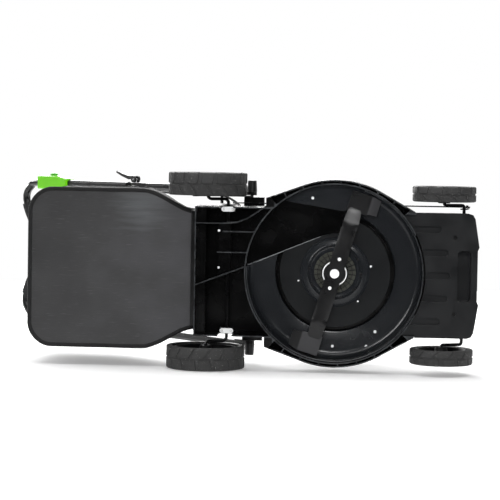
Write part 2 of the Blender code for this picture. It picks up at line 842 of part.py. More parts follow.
def make_apron(body, finish):
    radius = RIM_INNER + RIM_WALL + GAP
    inner = NOSE_HALF - NOSE_INSET - PLASTIC - 0.0005
    angle = math.asin(inner / radius)
    outline = nose_outline(0.0, FLANGE_FRONT[0] + 0.001)
    step = [(FLANGE_FRONT[0] + 0.001, inner)]
    rim = arc((0, 0), radius, angle, -angle, 25)
    plan = outline + step + rim + [(x, -y) for x, y in step]
    apron = hold(extrusion("front_apron", [plan], APRON_Z, APRON_Z + APRON_THICK), body, finish)
    x0, x1, half = GRIP_SLOT
    cup_low = (x0 - PLASTIC, -half - PLASTIC, APRON_Z + OVERLAP)
    cup_high = (x1 + PLASTIC, half + PLASTIC, APRON_Z + GRIP_DEPTH + PLASTIC)
    join(apron, soften(block("grip_cup", cup_low, cup_high), 0.004, 1))
    ends = (x0 + GRIP_CORNER, x1 - GRIP_CORNER)
    corners = [((x, y), GRIP_CORNER) for x in ends for y in (half - GRIP_CORNER, GRIP_CORNER - half)]
    cut(apron, extrusion("grip_slot", [wrapped(corners)], 0, APRON_Z + GRIP_DEPTH))
    for n, (y, reach) in enumerate(APRON_FLUTES):
        flute = stadium(0.150, reach, y, FLUTE_HALF)
        cut(apron, extrusion(f"flute_{n}", [flute], 0, APRON_Z + FLUTE_DEPTH))
    for side in (1, -1):
        x, y = APRON_SCREW
        ends = ((x, side * y, 0), (x, side * y, APRON_Z + WELL_DEPTH))
        cut(apron, rod(f"apron_well_{side}", *ends, WELL_RADIUS, 14))
    return apron


# Motor and blade
def make_motor(fixed, rotor, steel, black, zinc, copper):
    base_top = DISH_Z - GAP
    low = base_top - BASE_THICK
    steps = [
        (0.0105, base_top),
        (BASE_RADIUS, base_top),
        (BASE_RADIUS, base_top - 0.003),
        (0.064, base_top - 0.003),
        (0.060, low),
        (0.052, low),
        (0.050, low + 0.004),
        (0.034, low + 0.004),
        (0.030, low),
        (0.0105, low),
    ]
    base = hold(turned("motor_base", steps, 32), fixed, black)
    slots = []
    for n in range(BASE_SLOTS):
        start = TURN * n / BASE_SLOTS
        end = start + BASE_SLOT
        slots.append(arc((0, 0), 0.035, start, end, 4) + arc((0, 0), 0.048, end, start, 4))
    cut(base, extrusion("base_slots", slots, low - 0.01, base_top - 0.003))
    foot = DISH_Z + PLASTIC + GAP
    can = [
        (0.012, CAN_TOP),
        (CAN_RADIUS - 0.008, CAN_TOP),
        (CAN_RADIUS, CAN_TOP - 0.008),
        (CAN_RADIUS, foot),
        (CAN_RADIUS - CAN_WALL, foot),
        (CAN_RADIUS - CAN_WALL, CAN_TOP - CAN_WALL),
        (SHAFT_RADIUS + RUNNING, CAN_TOP - CAN_WALL - 0.004),
        (SHAFT_RADIUS + RUNNING, CAN_TOP - 0.002),
    ]
    hold(turned("motor_can", can, 24), fixed, steel)
    hold(rod("motor_shaft", (0, 0, BLADE_Z + 0.0083), (0, 0, SHAFT_TOP), SHAFT_RADIUS, 16), rotor, steel)
    bore = SHAFT_RADIUS + GAP
    core_low, core_high = ROTOR_Z
    core = [(bore, core_high), (ROTOR_RADIUS, core_high), (ROTOR_RADIUS, core_low), (bore, core_low)]
    hold(turned("motor_rotor", core, 20), rotor, copper)
    flange_low = BLADE_Z + BLADE_SHEET + GAP
    adapter = [
        (bore, ADAPTER_TOP - 0.001),
        (ADAPTER_RADIUS - 0.004, ADAPTER_TOP - 0.001),
        (ADAPTER_RADIUS, 0.100),
        (ADAPTER_RADIUS, flange_low + 0.010),
        (ADAPTER_FLANGE, flange_low + 0.006),
        (ADAPTER_FLANGE, flange_low),
        (bore, flange_low),
    ]
    hub = hold(turned("blade_adapter", adapter, 20), rotor, black)
    for n in (0, 1):
        x, y = polar((0, 0), PIN_CIRCLE, BLADE_ANGLE + PIN_LEAD + math.pi * n)
        ends = ((x, y, BLADE_Z - 0.003), (x, y, flange_low + 0.003))
        join(hub, rod(f"drive_pin_{n}", *ends, PIN_RADIUS, 12))
    washer = [
        (BOLT_RADIUS + GAP, BLADE_Z - GAP),
        (WASHER_RADIUS, BLADE_Z - GAP),
        (WASHER_RADIUS, BLADE_Z - 0.003),
        (BOLT_RADIUS + GAP, BLADE_Z - 0.003),
    ]
    hold(turned("blade_washer", washer, 24), rotor, zinc)
    head_top = BLADE_Z - 0.003 - GAP
    bolt = hold(rod("blade_bolt", (0, 0, head_top - 0.006), (0, 0, head_top), 0.0085, 6), rotor, zinc)
    join(bolt, rod("bolt_shank", (0, 0, head_top - 0.001), (0, 0, BLADE_Z + 0.008), BOLT_RADIUS, 12))


def make_blade(rotor, finish):
    """Stamped bar with raised cutting ends, each with a wing bent up behind its edge."""
    half = BLADE_WIDTH / 2
    top = BLADE_Z + BLADE_SHEET
    blade = hold(block("blade", (-BLADE_BAR, -half, BLADE_Z), (BLADE_BAR, half, top)), rotor, finish)
    run = 0.014
    inner = BLADE_BAR - 0.001
    outer = BLADE_BAR + run
    for n, side in enumerate((1, -1)):
        ramp = [
            (side * inner, BLADE_Z),
            (side * outer, BLADE_Z + BLADE_RISE),
            (side * outer, top + BLADE_RISE),
            (side * inner, top),
        ]
        join(blade, extrusion(f"blade_ramp_{n}", [ramp], -half, half, "XZ"))
        tip = [
            (side * (outer - 0.001), -side * half),
            (side * BLADE_REACH, -side * (half + 0.004)),
            (side * BLADE_REACH, side * half * 0.3),
            (side * (outer - 0.001), side * half),
        ]
        join(blade, extrusion(f"blade_tip_{n}", [tip], BLADE_Z + BLADE_RISE, top + BLADE_RISE))
        wing = [
            (side * half * 0.2, BLADE_Z + BLADE_RISE),
            (side * (half + 0.012), BLADE_Z + BLADE_RISE + BLADE_WING),
            (side * (half + 0.010), top + BLADE_RISE + BLADE_WING),
            (side * half * 0.1, top + BLADE_RISE),
        ]
        reach = sorted((side * (outer + 0.004), side * (BLADE_REACH - 0.006)))
        join(blade, extrusion(f"blade_wing_{n}", [wing], *reach, "YZ"))
    cut(blade, rod("blade_hole", (0, 0, 0), (0, 0, 0.1), BOLT_RADIUS + GAP, 12))
    for n in (0, 1):
        x, y = polar((0, 0), PIN_CIRCLE, PIN_LEAD + math.pi * n)
        cut(blade, rod(f"pin_hole_{n}", (x, y, 0), (x, y, 0.1), PIN_RADIUS + GAP, 12))
    turn_with_tools(blade, BLADE_ANGLE)
    return blade


def turn_with_tools(obj, angle):
    """Turns a piece about the blade's axis together with the tools that shape it."""
    turn = Matrix.Rotation(angle, 4, "Z")
    for item in [obj] + [m.object for m in obj.modifiers if m.type == "BOOLEAN"]:
        item.location = turn @ item.location
        base = item.rotation_euler.to_matrix().to_4x4()
        item.rotation_euler = (turn @ base).to_euler()


# Running gear
def crank_path(pivot, crank_y, stub_end, bend):
    wheel_x, wheel_z = crank_end(pivot)
    x, z = pivot
    corners = [
        (wheel_x, stub_end, wheel_z),
        (wheel_x, crank_y, wheel_z),
        (x, crank_y, z),
        (x, -crank_y, z),
        (wheel_x, -crank_y, wheel_z),
        (wheel_x, -stub_end, wheel_z),
    ]
    return rounded(corners, bend)


def make_axles(rear_body, front_body, finish):
    path = crank_path(REAR_PIVOT, REAR_CRANK_Y, REAR_WHEEL[2] - 0.0095, REAR_BEND)
    rear = hold(as_mesh(sweep("rear_axle", path, AXLE_RADIUS)), rear_body, finish)
    pin = polar(REAR_PIVOT, EAR_ARM, EAR_ANGLE)
    grip = polar(REAR_PIVOT, LEVER_ARM, LEVER_ANGLE)
    ear = extrusion("rear_ear", [wrapped([(REAR_PIVOT, 0.010), (pin, 0.007), (grip, 0.007)])], *EAR_Y, "XZ")
    join(rear, ear)
    ends = ((pin[0], EAR_Y[0] - 0.05, pin[1]), (pin[0], EAR_Y[1] + 0.05, pin[1]))
    cut(rear, rod("rear_ear_hole", *ends, LINK_PIN + GAP, 12))
    path = crank_path(FRONT_PIVOT, FRONT_CRANK_Y, FRONT_WHEEL[2] - 0.0095, FRONT_BEND)
    front = hold(as_mesh(sweep("front_axle", path, AXLE_RADIUS)), front_body, finish)
    pin = polar(FRONT_PIVOT, EAR_ARM, EAR_ANGLE)
    join(front, extrusion("front_ear", [wrapped([(FRONT_PIVOT, 0.009), (pin, 0.006)])], *EAR_Y, "XZ"))
    ends = ((pin[0], EAR_Y[1], pin[1]), (pin[0], EAR_Y[0] - 0.006, pin[1]))
    join(front, rod("front_ear_pin", *ends, LINK_PIN, 12))


def make_height_link(body, finish):
    rear = polar(REAR_PIVOT, EAR_ARM, EAR_ANGLE)
    front = polar(FRONT_PIVOT, EAR_ARM, EAR_ANGLE)
    outer = EAR_Y[0] - GAP
    bar = wrapped([(rear, 0.006), (front, 0.0075)])
    link = hold(extrusion("height_link", [bar], outer - LINK_THICK, outer, "XZ"), body, finish)
    pin_ends = ((rear[0], EAR_Y[1], rear[1]), (rear[0], outer - 0.001, rear[1]))
    join(link, rod("rear_link_pin", *pin_ends, LINK_PIN, 12))
    hole_ends = ((front[0], outer - 0.05, front[1]), (front[0], outer + 0.05, front[1]))
    cut(link, rod("front_link_hole", *hole_ends, LINK_PIN + LINK_PIN_CLEARANCE, 16))
    return link


def make_height_lever(body, steel, rubber):
    x, z = polar(REAR_PIVOT, LEVER_ARM, LEVER_ANGLE)
    tip = Vector((LEVER_TIP[0], LEVER_Y, LEVER_TIP[1]))
    corner = Vector((x, LEVER_Y, z))
    path = rounded([(x, EAR_Y[0] - GAP, z), corner, tip], LEVER_BEND)
    hold(sweep("height_lever", path, LEVER_RADIUS), body, steel)
    along = (tip - corner).normalized()
    grip_high = tip + along * 0.003
    grip_low = grip_high - along * GRIP_LENGTH
    shape = rod("lever_grip", grip_low, grip_high, GRIP_RADIUS * 0.8, 14, GRIP_RADIUS)
    grip = hold(shape, body, rubber)
    soften(grip, 0.002, 1)
    cut(grip, rod("lever_bore", grip_low - along * 0.01, tip + along * GAP, LEVER_RADIUS + GAP, 14))


def make_height_sector(body, finish):
    inner, outer = SECTOR_RADII
    start, end = SECTOR_SPAN
    edge = arc(REAR_PIVOT, outer, start, end, SECTOR_STEPS + 1)
    teeth = []
    floor = inner + NOTCH_DEPTH
    for n in range(SECTOR_NOTCHES):
        a = SECTOR_NOTCH_FIRST + SECTOR_NOTCH_PITCH * n
        b = a + SECTOR_NOTCH_PITCH * 0.5
        for angle, radius in ((a, inner), (a, floor), (b, floor), (b, inner)):
            teeth.append(polar(REAR_PIVOT, radius, angle))
    low = [polar(REAR_PIVOT, inner, start)] + teeth + [polar(REAR_PIVOT, inner, end)]
    return hold(extrusion("height_sector", [low + edge[::-1]], *SECTOR_Y, "XZ"), body, finish)


def make_wheel(name, body, pivot, size, side, tyre_finish, rim_finish):
    radius, inner_face, outer_face = size
    width = outer_face - inner_face
    x, z = crank_end(pivot)
    at = (x, side * inner_face, z)
    axis = "Y" if side > 0 else "-Y"
    flat = math.cos(math.pi / TYRE_STEPS)
    outer = radius / flat
    bead = radius - TYRE_DEPTH
    tyre = [
        (bead, width - 0.001),
        (outer - 0.004, width),
        (outer, width - 0.004),
        (outer, 0.004),
        (outer - 0.004, 0),
        (bead, 0.001),
    ]
    hold(turned(f"{name}_tyre", tyre, TYRE_STEPS, at, axis, phase=math.pi / TYRE_STEPS), body, tyre_finish)
    bore = AXLE_RADIUS + RUNNING
    seat = bead * flat - GAP
    rim = [
        (0, width - 0.0005),
        (CAP_RADIUS * 0.6, width - 0.0005),
        (CAP_RADIUS, width - 0.005),
        (CAP_RADIUS + 0.004, width - 0.013),
        (bead - 0.018, width - 0.013),
        (bead - 0.010, width - 0.004),
        (seat, width - 0.002),
        (seat, 0.002),
        (seat - 0.004, 0.002),
        (bead - 0.012, width - 0.018),
        (0.018, width - 0.018),
        (0.014, -HUB_PROUD),
        (bore, -HUB_PROUD),
        (bore, width - 0.009),
        (0, width - 0.009),
    ]
    hold(turned(f"{name}_rim", rim, RIM_STEPS, at, axis, closed=False), body, rim_finish)


# Hood, battery and electronics
def hood_ring(t, z, inset=0.0):
    """A rounded outline between the hood's foot and its roof, with t from 0 to 1."""
    x0, x1, half = (a + (b - a) * t for a, b in zip(HOOD_FOOT, HOOD_ROOF))
    centre = (x0 + x1) / 2
    length = (x1 - x0) / 2 - inset
    points = []
    for n in range(HOOD_SIDES):
        angle = TURN * n / HOOD_SIDES
        c = math.cos(angle)
        s = math.sin(angle)
        stretch = (abs(c) ** 4.5 + abs(s) ** 4.5) ** (-1 / 4.5)
        points.append((centre + length * c * stretch, (half - inset) * s * stretch, z))
    return points


def make_hood(body, finish):
    low, high = HOOD_Z
    levels = (
        (0.0, 0.0),
        (0.10, 0.30),
        (0.25, 0.55),
        (0.45, 0.75),
        (0.70, 0.90),
        (0.88, 0.975),
        (1.0, 1.0),
    )
    rings = [hood_ring(t, low + (high - low) * height) for t, height in levels]
    hood = hold(loft("hood", rings, closed_bottom=False), body, finish)
    shell = hood.modifiers.new("wall", "SOLIDIFY")
    shell.thickness = HOOD_WALL
    shell.offset = -1
    x0, x1, half = BAY
    cut(hood, block("bay_opening", (x0, -half, 0.25), (x1, half, 0.35)))
    cut(hood, block("over_deck", (-0.3, -0.3, 0.1), (0.3, 0.3, DECK_TOP + GAP)))
    rear = -0.149
    side = -0.070
    over_hump = [(-0.3, -0.3), (0.052, -0.3), (0.052, side), (rear, side), (rear, 0.3), (-0.3, 0.3)]
    cut(hood, extrusion("over_tunnel", [over_hump], 0.1, REAR_TOP + GAP))
    cut(hood, block("over_nose", (0.1195, -0.3, 0.1), (0.4, 0.3, NOSE_TOP + GAP)))
    return hood


def make_battery_bay(fixed, battery, key, lid, black, battery_finish, key_finish):
    x0, x1, half = BAY
    b0, b1, b_half = BATTERY
    low, high = BATTERY_Z
    slack = 0.001
    rim = HOOD_Z[1] - HOOD_WALL - 0.004
    shape = block("battery_tray", (x0 + slack, -half + slack, TRAY_Z), (x1 - slack, half - slack, rim))
    tray = hold(shape, fixed, black)
    pocket_low = (b0 - slack, -b_half - slack, low - GAP)
    cut(tray, block("tray_pocket", pocket_low, (b1 + slack, b_half + slack, rim + 0.01)))
    k0, k1 = KEY_X
    well = high - 0.014
    well_low = (b1 - slack, -b_half - slack, well)
    cut(tray, block("key_well", well_low, (x1 - 0.003, b_half + slack, rim + 0.01)))
    cut(tray, block("key_slot", (k0 + 0.004, -0.0085, well - 0.022), (k1 - 0.004, 0.0085, well + 0.008)))
    pack = hold(block("battery_pack", (b0, -b_half, low), (b1, b_half, high)), battery, battery_finish)
    soften(pack, 0.006, 1)
    grip = block("pack_handle", (b0 + 0.030, -0.020, high - 0.002), (b0 + 0.075, 0.020, high + 0.005))
    join(pack, soften(grip, 0.002, 1))
    plug = hold(block("safety_key", (k0, -KEY_HALF, well + GAP), (k1, KEY_HALF, high)), key, key_finish)
    tongue = block("key_blade", (k0 + 0.0045, -0.008, well - 0.0177), (k1 - 0.0045, 0.008, well + 0.003))
    join(plug, tongue)
    top = HOOD_Z[1] + GAP
    lid_low = (x0 - LID_MARGIN, -half - LID_MARGIN, top)
    lid_high = (x1 + LID_MARGIN, half + LID_MARGIN, top + LID_THICK)
    cover = hold(block("battery_door", lid_low, lid_high), lid, black)
    soften(cover, 0.002, 1)
    board_low = (BOARD_X[0], -BOARD_HALF, NOSE_TOP + GAP)
    board_high = (BOARD_X[1], BOARD_HALF, NOSE_TOP + GAP + BOARD_HEIGHT)
    board = hold(block("control_board", board_low, board_high), fixed, black)
    soften(board, 0.003, 1)


# Handle
def make_brackets(body, finish):
    x0, x1 = BRACKET_X
    px, pz = HANDLE_PIVOT
    low, high = BRACKET_BRIDGE_Z
    inner, foot = BRACKET_FOOT_Y
    corner = 0.004
    corners = [((x, low + corner), corner) for x in (x0 + corner, x1 - corner)]
    for name, side in (("left", 1), ("right", -1)):
        plate = wrapped([((px, pz), 0.018)] + corners)
        outer = BRACKET_Y[1] if side < 0 else BRACKET_Y[1] + 0.003
        y = sorted((side * BRACKET_Y[0], side * outer))
        bracket = hold(extrusion(f"handle_bracket_{name}", [plate], *y, "XZ"), body, finish)
        y = sorted((side * inner, side * (BRACKET_Y[0] + OVERLAP)))
        join(bracket, block(f"bracket_bridge_{name}", (x0, y[0], low), (x1, y[1], high)))
        y = sorted((side * inner, side * foot))
        join(bracket, block(f"bracket_foot_{name}", (x0, y[0], REAR_TOP + GAP), (x1, y[1], low + 0.002)))
        ends = ((px, side * inner, pz), (px, side * (outer + 0.01), pz))
        cut(bracket, rod(f"bracket_hole_{name}", *ends, BRACKET_BOLT + GAP, 14))


def lap(name, u0, u1, inner, side):
    """Flattened tube end: a plate between two rounded ends, at a distance from the middle plane."""
    y = sorted((side * inner, side * (inner + LAP_SHEET)))
    return extrusion(name, [wrapped([((u0, 0), LAP_RADIUS), ((u1, 0), LAP_RADIUS * 0.8)])], *y, "XZ")


def joint_ends(side):
    """Ends of a cutter on the middle joint's bolt axis."""
    return ((JOINT_U, side * (HANDLE_HALF - 0.04), 0), (JOINT_U, side * (HANDLE_HALF + 0.03), 0))


def make_lower_handle(body, tube_finish, knob_finish):
    for name, side in (("left", -1), ("right", 1)):
        v = side * HANDLE_HALF
        ends = [(LAP_ROOT, v, 0), (JOINT_U - LAP_ROOT, v, 0)]
        tube = hold(as_mesh(sweep(f"lower_tube_{name}", ends, TUBE_RADIUS, 3)), body, tube_finish)
        join(tube, lap(f"base_lap_{name}", 0, LAP_LENGTH, BASE_LAP_Y, side))
        join(tube, lap(f"top_lap_{name}", JOINT_U, JOINT_U - LAP_LENGTH, HANDLE_HALF + GAP, side))
        base = ((0, side * (BASE_LAP_Y - 0.02), 0), (0, side * (HANDLE_HALF + 0.03), 0))
        cut(tube, rod(f"base_lap_hole_{name}", *base, BRACKET_BOLT, 14))
        cut(tube, rod(f"top_lap_hole_{name}", *joint_ends(side), JOINT_BOLT + GAP, 12))
    face = BASE_LAP_Y + LAP_SHEET + GAP
    for name, side in (("left", -1), ("right", 1)):
        ends = ((0, side * face, 0), (0, side * (face + KNOB_DEPTH), 0))
        shape = rod(f"pivot_knob_{name}", *ends, KNOB_RADIUS, 18, KNOB_RADIUS * 0.86)
        knob = hold(shape, body, knob_finish)
        stud = ((0, side * (BRACKET_Y[0] - 0.001), 0), (0, side * (face + 0.002), 0))
        join(knob, rod(f"knob_stud_{name}", *stud, BRACKET_BOLT - 0.0005, 12))


def crossbar_path():
    """The upper handle's centre line from the left lap to the right one."""
    v = HANDLE_HALF
    end = HANDLE_END
    half = [
        (JOINT_U + LAP_ROOT, v, 0),
        (end - 0.085, v, 0),
        (end - 0.030, v - 0.010, 0.002),
        (end - 0.002, v - 0.038, 0.004),
        (end - 0.010, v * 0.605, 0.006),
        (end - 0.034, v * 0.395, 0.008),
        (end - CROSSBAR_DIP, v * 0.132, 0.010),
    ]
    left = [(u, -y, w) for u, y, w in half]
    return left + half[::-1]


def make_upper_handle(body, tube_finish, foam):
    path = smooth(crossbar_path(), 3)
    handle = hold(as_mesh(sweep("upper_handle", path, TUBE_RADIUS, 3)), body, tube_finish)
    for side in (-1, 1):
        inner = HANDLE_HALF - GAP - LAP_SHEET
        join(handle, lap(f"upper_lap_{side}", JOINT_U, JOINT_U + LAP_LENGTH, inner, side))
        cut(handle, rod(f"upper_lap_hole_{side}", *joint_ends(side), JOINT_BOLT + GAP, 12))
    span = [p for p in path if abs(p[1]) < SLEEVE_HALF]
    grip = hold(as_mesh(sweep("grip_sleeve", span, SLEEVE_RADIUS, 3)), body, foam)
    cut(grip, as_mesh(sweep("sleeve_bore", path, TUBE_RADIUS + GAP, 3)))


def make_joint_bolts(body, finish):
    """Bolts through both laps, each with an inner head and a cross pin for its cam lever."""
    for name, side in (("left", -1), ("right", 1)):
        y = side * CAM_AXIS_Y
        lap_face = HANDLE_HALF - GAP - LAP_SHEET
        head_low = lap_face - GAP - 0.0044
        head = ((JOINT_U, side * head_low, 0), (JOINT_U, side * (lap_face - GAP), 0))
        shank = ((JOINT_U, side * (head_low + 0.0012), 0), (JOINT_U, side * (CAM_AXIS_Y + 0.0027), 0))
        pin = ((JOINT_U, y, -CAM_RADIUS + GAP), (JOINT_U, y, CAM_RADIUS - GAP))
        bolt = hold(rod(f"joint_bolt_{name}", *head, 0.007, 6), body, finish)
        join(bolt, rod(f"bolt_shank_{name}", *shank, JOINT_BOLT, 12))
        join(bolt, rod(f"cam_pin_{name}", *pin, CAM_PIN, 10))


def make_cam_lever(name, side, body, finish):
    """Two cheeks on the cross pin and a lever that lies along the tube."""
    y = side * CAM_AXIS_Y
    cheek = circle((JOINT_U, y), CAM_RADIUS, 20)
    blade = [
        (JOINT_U, y + side * 0.001),
        (JOINT_U + 0.020, y - side * 0.001),
        (JOINT_U + 0.050, y + side * 0.007),
        (JOINT_U + CAM_LEVER, y + side * 0.016),
        (JOINT_U + CAM_LEVER - 0.001, y + side * 0.021),
        (JOINT_U + 0.045, y + side * 0.013),
        (JOINT_U + 0.018, y + side * 0.0085),
        (JOINT_U, y + side * 0.0085),
    ]
    lever = hold(extrusion(f"cam_lever_{name}", [cheek], -CAM_RADIUS, CAM_RADIUS), body, finish)
    join(lever, extrusion(f"cam_blade_{name}", [blade], -CAM_RADIUS, CAM_RADIUS))
    slot = rod(f"cam_slot_{name}", (JOINT_U, y, -CAM_SLOT), (JOINT_U, y, CAM_SLOT), CAM_RADIUS + 0.004, 20)
    hole = ((JOINT_U, y, -2 * CAM_RADIUS), (JOINT_U, y, 2 * CAM_RADIUS))
    cut(lever, slot, rod(f"cam_hole_{name}", *hole, CAM_PIN + GAP, 12))


def make_switch(body, button_body, bail_body, green, dark_green, steel):
    u0, u1 = SWITCH_U
    v0, v1 = SWITCH_V
    w = SWITCH_W
    plan = [
        (u0 - SWITCH_TAIL, HANDLE_HALF - 0.012),
        (u0 - SWITCH_TAIL, HANDLE_HALF + 0.0125),
        (u0 - 0.010, v1 - 0.004),
        (u0 + 0.004, v1),
        (u1 - 0.006, v1),
        (u1, v1 - 0.006),
        (u1, v0 - 0.006),
        (u0, v0 - 0.006),
    ]
    box = hold(extrusion("switch_box", [plan], -w, w), body, green)
    soften(box, 0.003, 1)
    box_bore = as_mesh(sweep("switch_bore", smooth(crossbar_path(), 3), TUBE_RADIUS + GAP, 3))
    cut(box, box_bore)
    cut(box, rod("bail_bore", (BAIL_U, v0 - 0.02, 0), (BAIL_U, v0 + 0.004, 0), BAIL_RADIUS + RUNNING, 16))
    face = v1 - 0.006
    cut(box, rod("button_well", (BUTTON_U, face, 0), (BUTTON_U, v1 + 0.02, 0), BUTTON_RADIUS + 0.0005, 20))
    ends = ((BUTTON_U, face + 0.004, 0), (BUTTON_U, v1 + BUTTON_PROUD, 0))
    button = hold(rod("start_button", *ends, BUTTON_RADIUS, 16), button_body, dark_green)
    soften(button, 0.002, 1)
    make_bail(bail_body, steel)


def make_bail(body, finish):
    """Wire lever with its ends turned out to the tubes, standing off the crossbar until it is squeezed."""
    reach_u = BAIL_REACH * math.cos(BAIL_TILT)
    reach_w = BAIL_REACH * math.sin(BAIL_TILT)
    stub = HANDLE_HALF - TUBE_RADIUS - GAP
    corners = [
        (BAIL_U, -stub, 0),
        (BAIL_U, -BAIL_HALF, 0),
        (BAIL_U + reach_u, -BAIL_HALF + 0.020, reach_w),
        (BAIL_U + reach_u, BAIL_HALF - 0.020, reach_w),
        (BAIL_U, BAIL_HALF, 0),
        (BAIL_U, stub, 0),
    ]
    hold(sweep("bail_lever", rounded(corners, 0.006), BAIL_RADIUS), body, finish)


def handle_point(x, y, z):
    """A place of the machine in the handle's frame."""
    dx = x - HANDLE_PIVOT[0]
    dz = z - HANDLE_PIVOT[1]
    c = math.cos(HANDLE_ANGLE)
    s = math.sin(HANDLE_ANGLE)
    return (-c * dx + s * dz, -y, s * dx + c * dz)


def make_cables(lower_body, upper_body, finish):
    """The switch lead in two stretches, clipped inside the right tube, with slack at each joint."""
    inside = HANDLE_HALF - TUBE_RADIUS - CABLE_RADIUS - 0.0004
    meeting = JOINT_U - 0.057

    def along_tube(start, end):
        return [(start + (end - start) * n / CABLE_STEPS, inside, 0.0) for n in range(CABLE_STEPS + 1)]

    rear = HOOD_FOOT[0]
    lower = [
        handle_point(rear - 0.0015, -0.060, REAR_TOP + 0.010),
        handle_point(rear - 0.020, -0.066, REAR_TOP + 0.013),
        handle_point(rear - 0.045, -0.085, REAR_TOP + 0.025),
        handle_point(rear - 0.057, -0.118, REAR_TOP + 0.051),
        (0.060, HANDLE_HALF - 0.040, 0.012),
        (0.105, inside - 0.004, 0.004),
    ]
    lower += along_tube(0.150, meeting)
    hold(sweep("lower_cable", smooth(lower, 3), CABLE_RADIUS), lower_body, finish)
    upper = [
        (meeting + 0.001, inside, 0.0),
        (JOINT_U - 0.037, inside - 0.003, 0.002),
        (JOINT_U, inside - 0.010, 0.016),
        (JOINT_U + 0.037, inside - 0.003, 0.002),
    ]
    upper += along_tube(JOINT_U + 0.058, SWITCH_U[0] - SWITCH_TAIL - 0.001)
    hold(sweep("upper_cable", smooth(upper, 3), CABLE_RADIUS), upper_body, finish)


# Rear flap and bag
def make_flap(fixed, body, black, steel):
    x, z = FLAP_PIVOT
    hold(rod("door_hinge_rod", (x, -REAR_HALF, z), (x, REAR_HALF, z), HINGE_ROD, 12), fixed, steel)
    c = math.cos(FLAP_ANGLE)
    s = math.sin(FLAP_ANGLE)

    def along(reach, off):
        return (x - reach * c - off * s, z + reach * s - off * c)

    half = FLAP_THICK / 2
    band = [
        along(0.0, -half),
        along(FLAP_LENGTH, -half),
        along(FLAP_LENGTH + 0.006, half + 0.006),
        along(FLAP_LENGTH, half),
        along(0.0, half),
    ]
    barrel = extrusion("rear_door", [circle((x, z), 0.0065, 16)], -FLAP_HALF, FLAP_HALF, "XZ")
    door = hold(barrel, body, black)
    join(door, extrusion("door_leaf", [band], -FLAP_HALF + 0.001, FLAP_HALF - 0.001, "XZ"))
    cut(door, rod("door_bore", (x, -0.2, z), (x, 0.2, z), HINGE_ROD + GAP, 12))


def bag_outline(inset, front=BAG_FRONT):
    """Plan of the bag: a narrow neck, sides that swell out, and rounded rear corners."""
    half = BAG_HALF - inset
    neck = BAG_NECK - inset
    rear = BAG_REAR + inset
    radius = BAG_CORNER
    side = [
        (front, neck),
        (front - 0.012, neck + 0.001),
        (front - 0.035, neck + 0.010),
        (front - 0.080, half - 0.014),
        (front - 0.105, half - 0.004),
        (front - 0.130, half),
    ]
    corner = arc((rear + radius, half - radius), radius, math.pi / 2, math.pi, 7)
    left = side + corner
    return left + [(x, -y) for x, y in left[::-1]]


def lid_profile(offset):
    return [(x, z + offset) for x, z in BAG_LID]


def make_bag(body, base_finish, cloth_finish, frame_finish):
    mouth_low, mouth_high = MOUTH_Z
    half = BAG_NECK - 0.0015
    band = FRAME_BAND
    outer = rounded_box(half, mouth_low, mouth_high, 0.012)
    inner = rounded_box(half - band, mouth_low + band, mouth_high - band, 0.007)
    hold(extrusion("bag_frame", [outer, inner], BAG_FRONT + GAP, REAR_X - GAP, "YZ"), body, frame_finish)
    hold(extrusion("bag_base", [bag_outline(0.0)], BAG_FLOOR, BAG_FLOOR + BAG_PANEL), body, base_finish)
    wall_outer = bag_outline(0.002)
    wall_inner = bag_outline(0.002 + BAG_CLOTH)
    band = wall_outer + wall_inner[::-1]
    low = BAG_FLOOR + BAG_PANEL + GAP
    cloth = hold(extrusion("bag_fabric", [band], low, 0.42), body, cloth_finish)
    ceiling = BAG_CREST[1] + 0.12
    behind = BAG_REAR - 0.06
    before = BAG_FRONT + 0.05
    reach = BAG_HALF + 0.05
    over = lid_profile(-GAP)
    over += [(behind, BAG_LID[-1][1]), (behind, ceiling), (before, ceiling), (before, 0.15)]
    cut(cloth, extrusion("above_bag", [over], -reach, reach, "XZ"))
    lid_band = lid_profile(0.0) + lid_profile(LID_SHEET)[::-1]
    lid = hold(extrusion("bag_lid", [lid_band], -reach, reach, "XZ"), body, frame_finish)
    keep_inside(lid, extrusion("lid_plan", [bag_outline(0.0005)], BAG_FLOOR, ceiling))
    half = LID_GRIP_WIDTH / 2
    join(lid, extrusion("lid_handle", [lid_grip()], -half, half, "XZ"))


def lid_grip():
    """Side view of the strap handle on the lid: a flat bridge with both feet in the lid."""
    crest_x, crest_z = BAG_CREST
    middle = crest_x - 0.010
    top = crest_z + LID_GRIP_RISE
    foot = LID_GRIP_HALF
    under = foot - LID_GRIP_BAND - 0.004
    outer = [
        (middle + foot, crest_z - 0.010),
        (middle + foot - 0.016, top - 0.007),
        (middle + foot - 0.026, top),
        (middle - foot + 0.026, top),
        (middle - foot + 0.016, top - 0.007),
        (middle - foot, crest_z + 0.001),
    ]
    inner = [
        (middle - under, crest_z + 0.001),
        (middle - under + 0.012, top - 0.011),
        (middle - under + 0.018, top - LID_GRIP_BAND),
        (middle + under - 0.018, top - LID_GRIP_BAND),
        (middle + under - 0.012, top - 0.011),
        (middle + under, crest_z - 0.006),
    ]
    return outer + inner


def rounded_box(half, low, high, radius):
    """An upright rounded rectangle across the machine."""
    levels = (low + radius, high - radius)
    corners = [((y, z), radius) for y in (half - radius, radius - half) for z in levels]
    return wrapped(corners, 16)


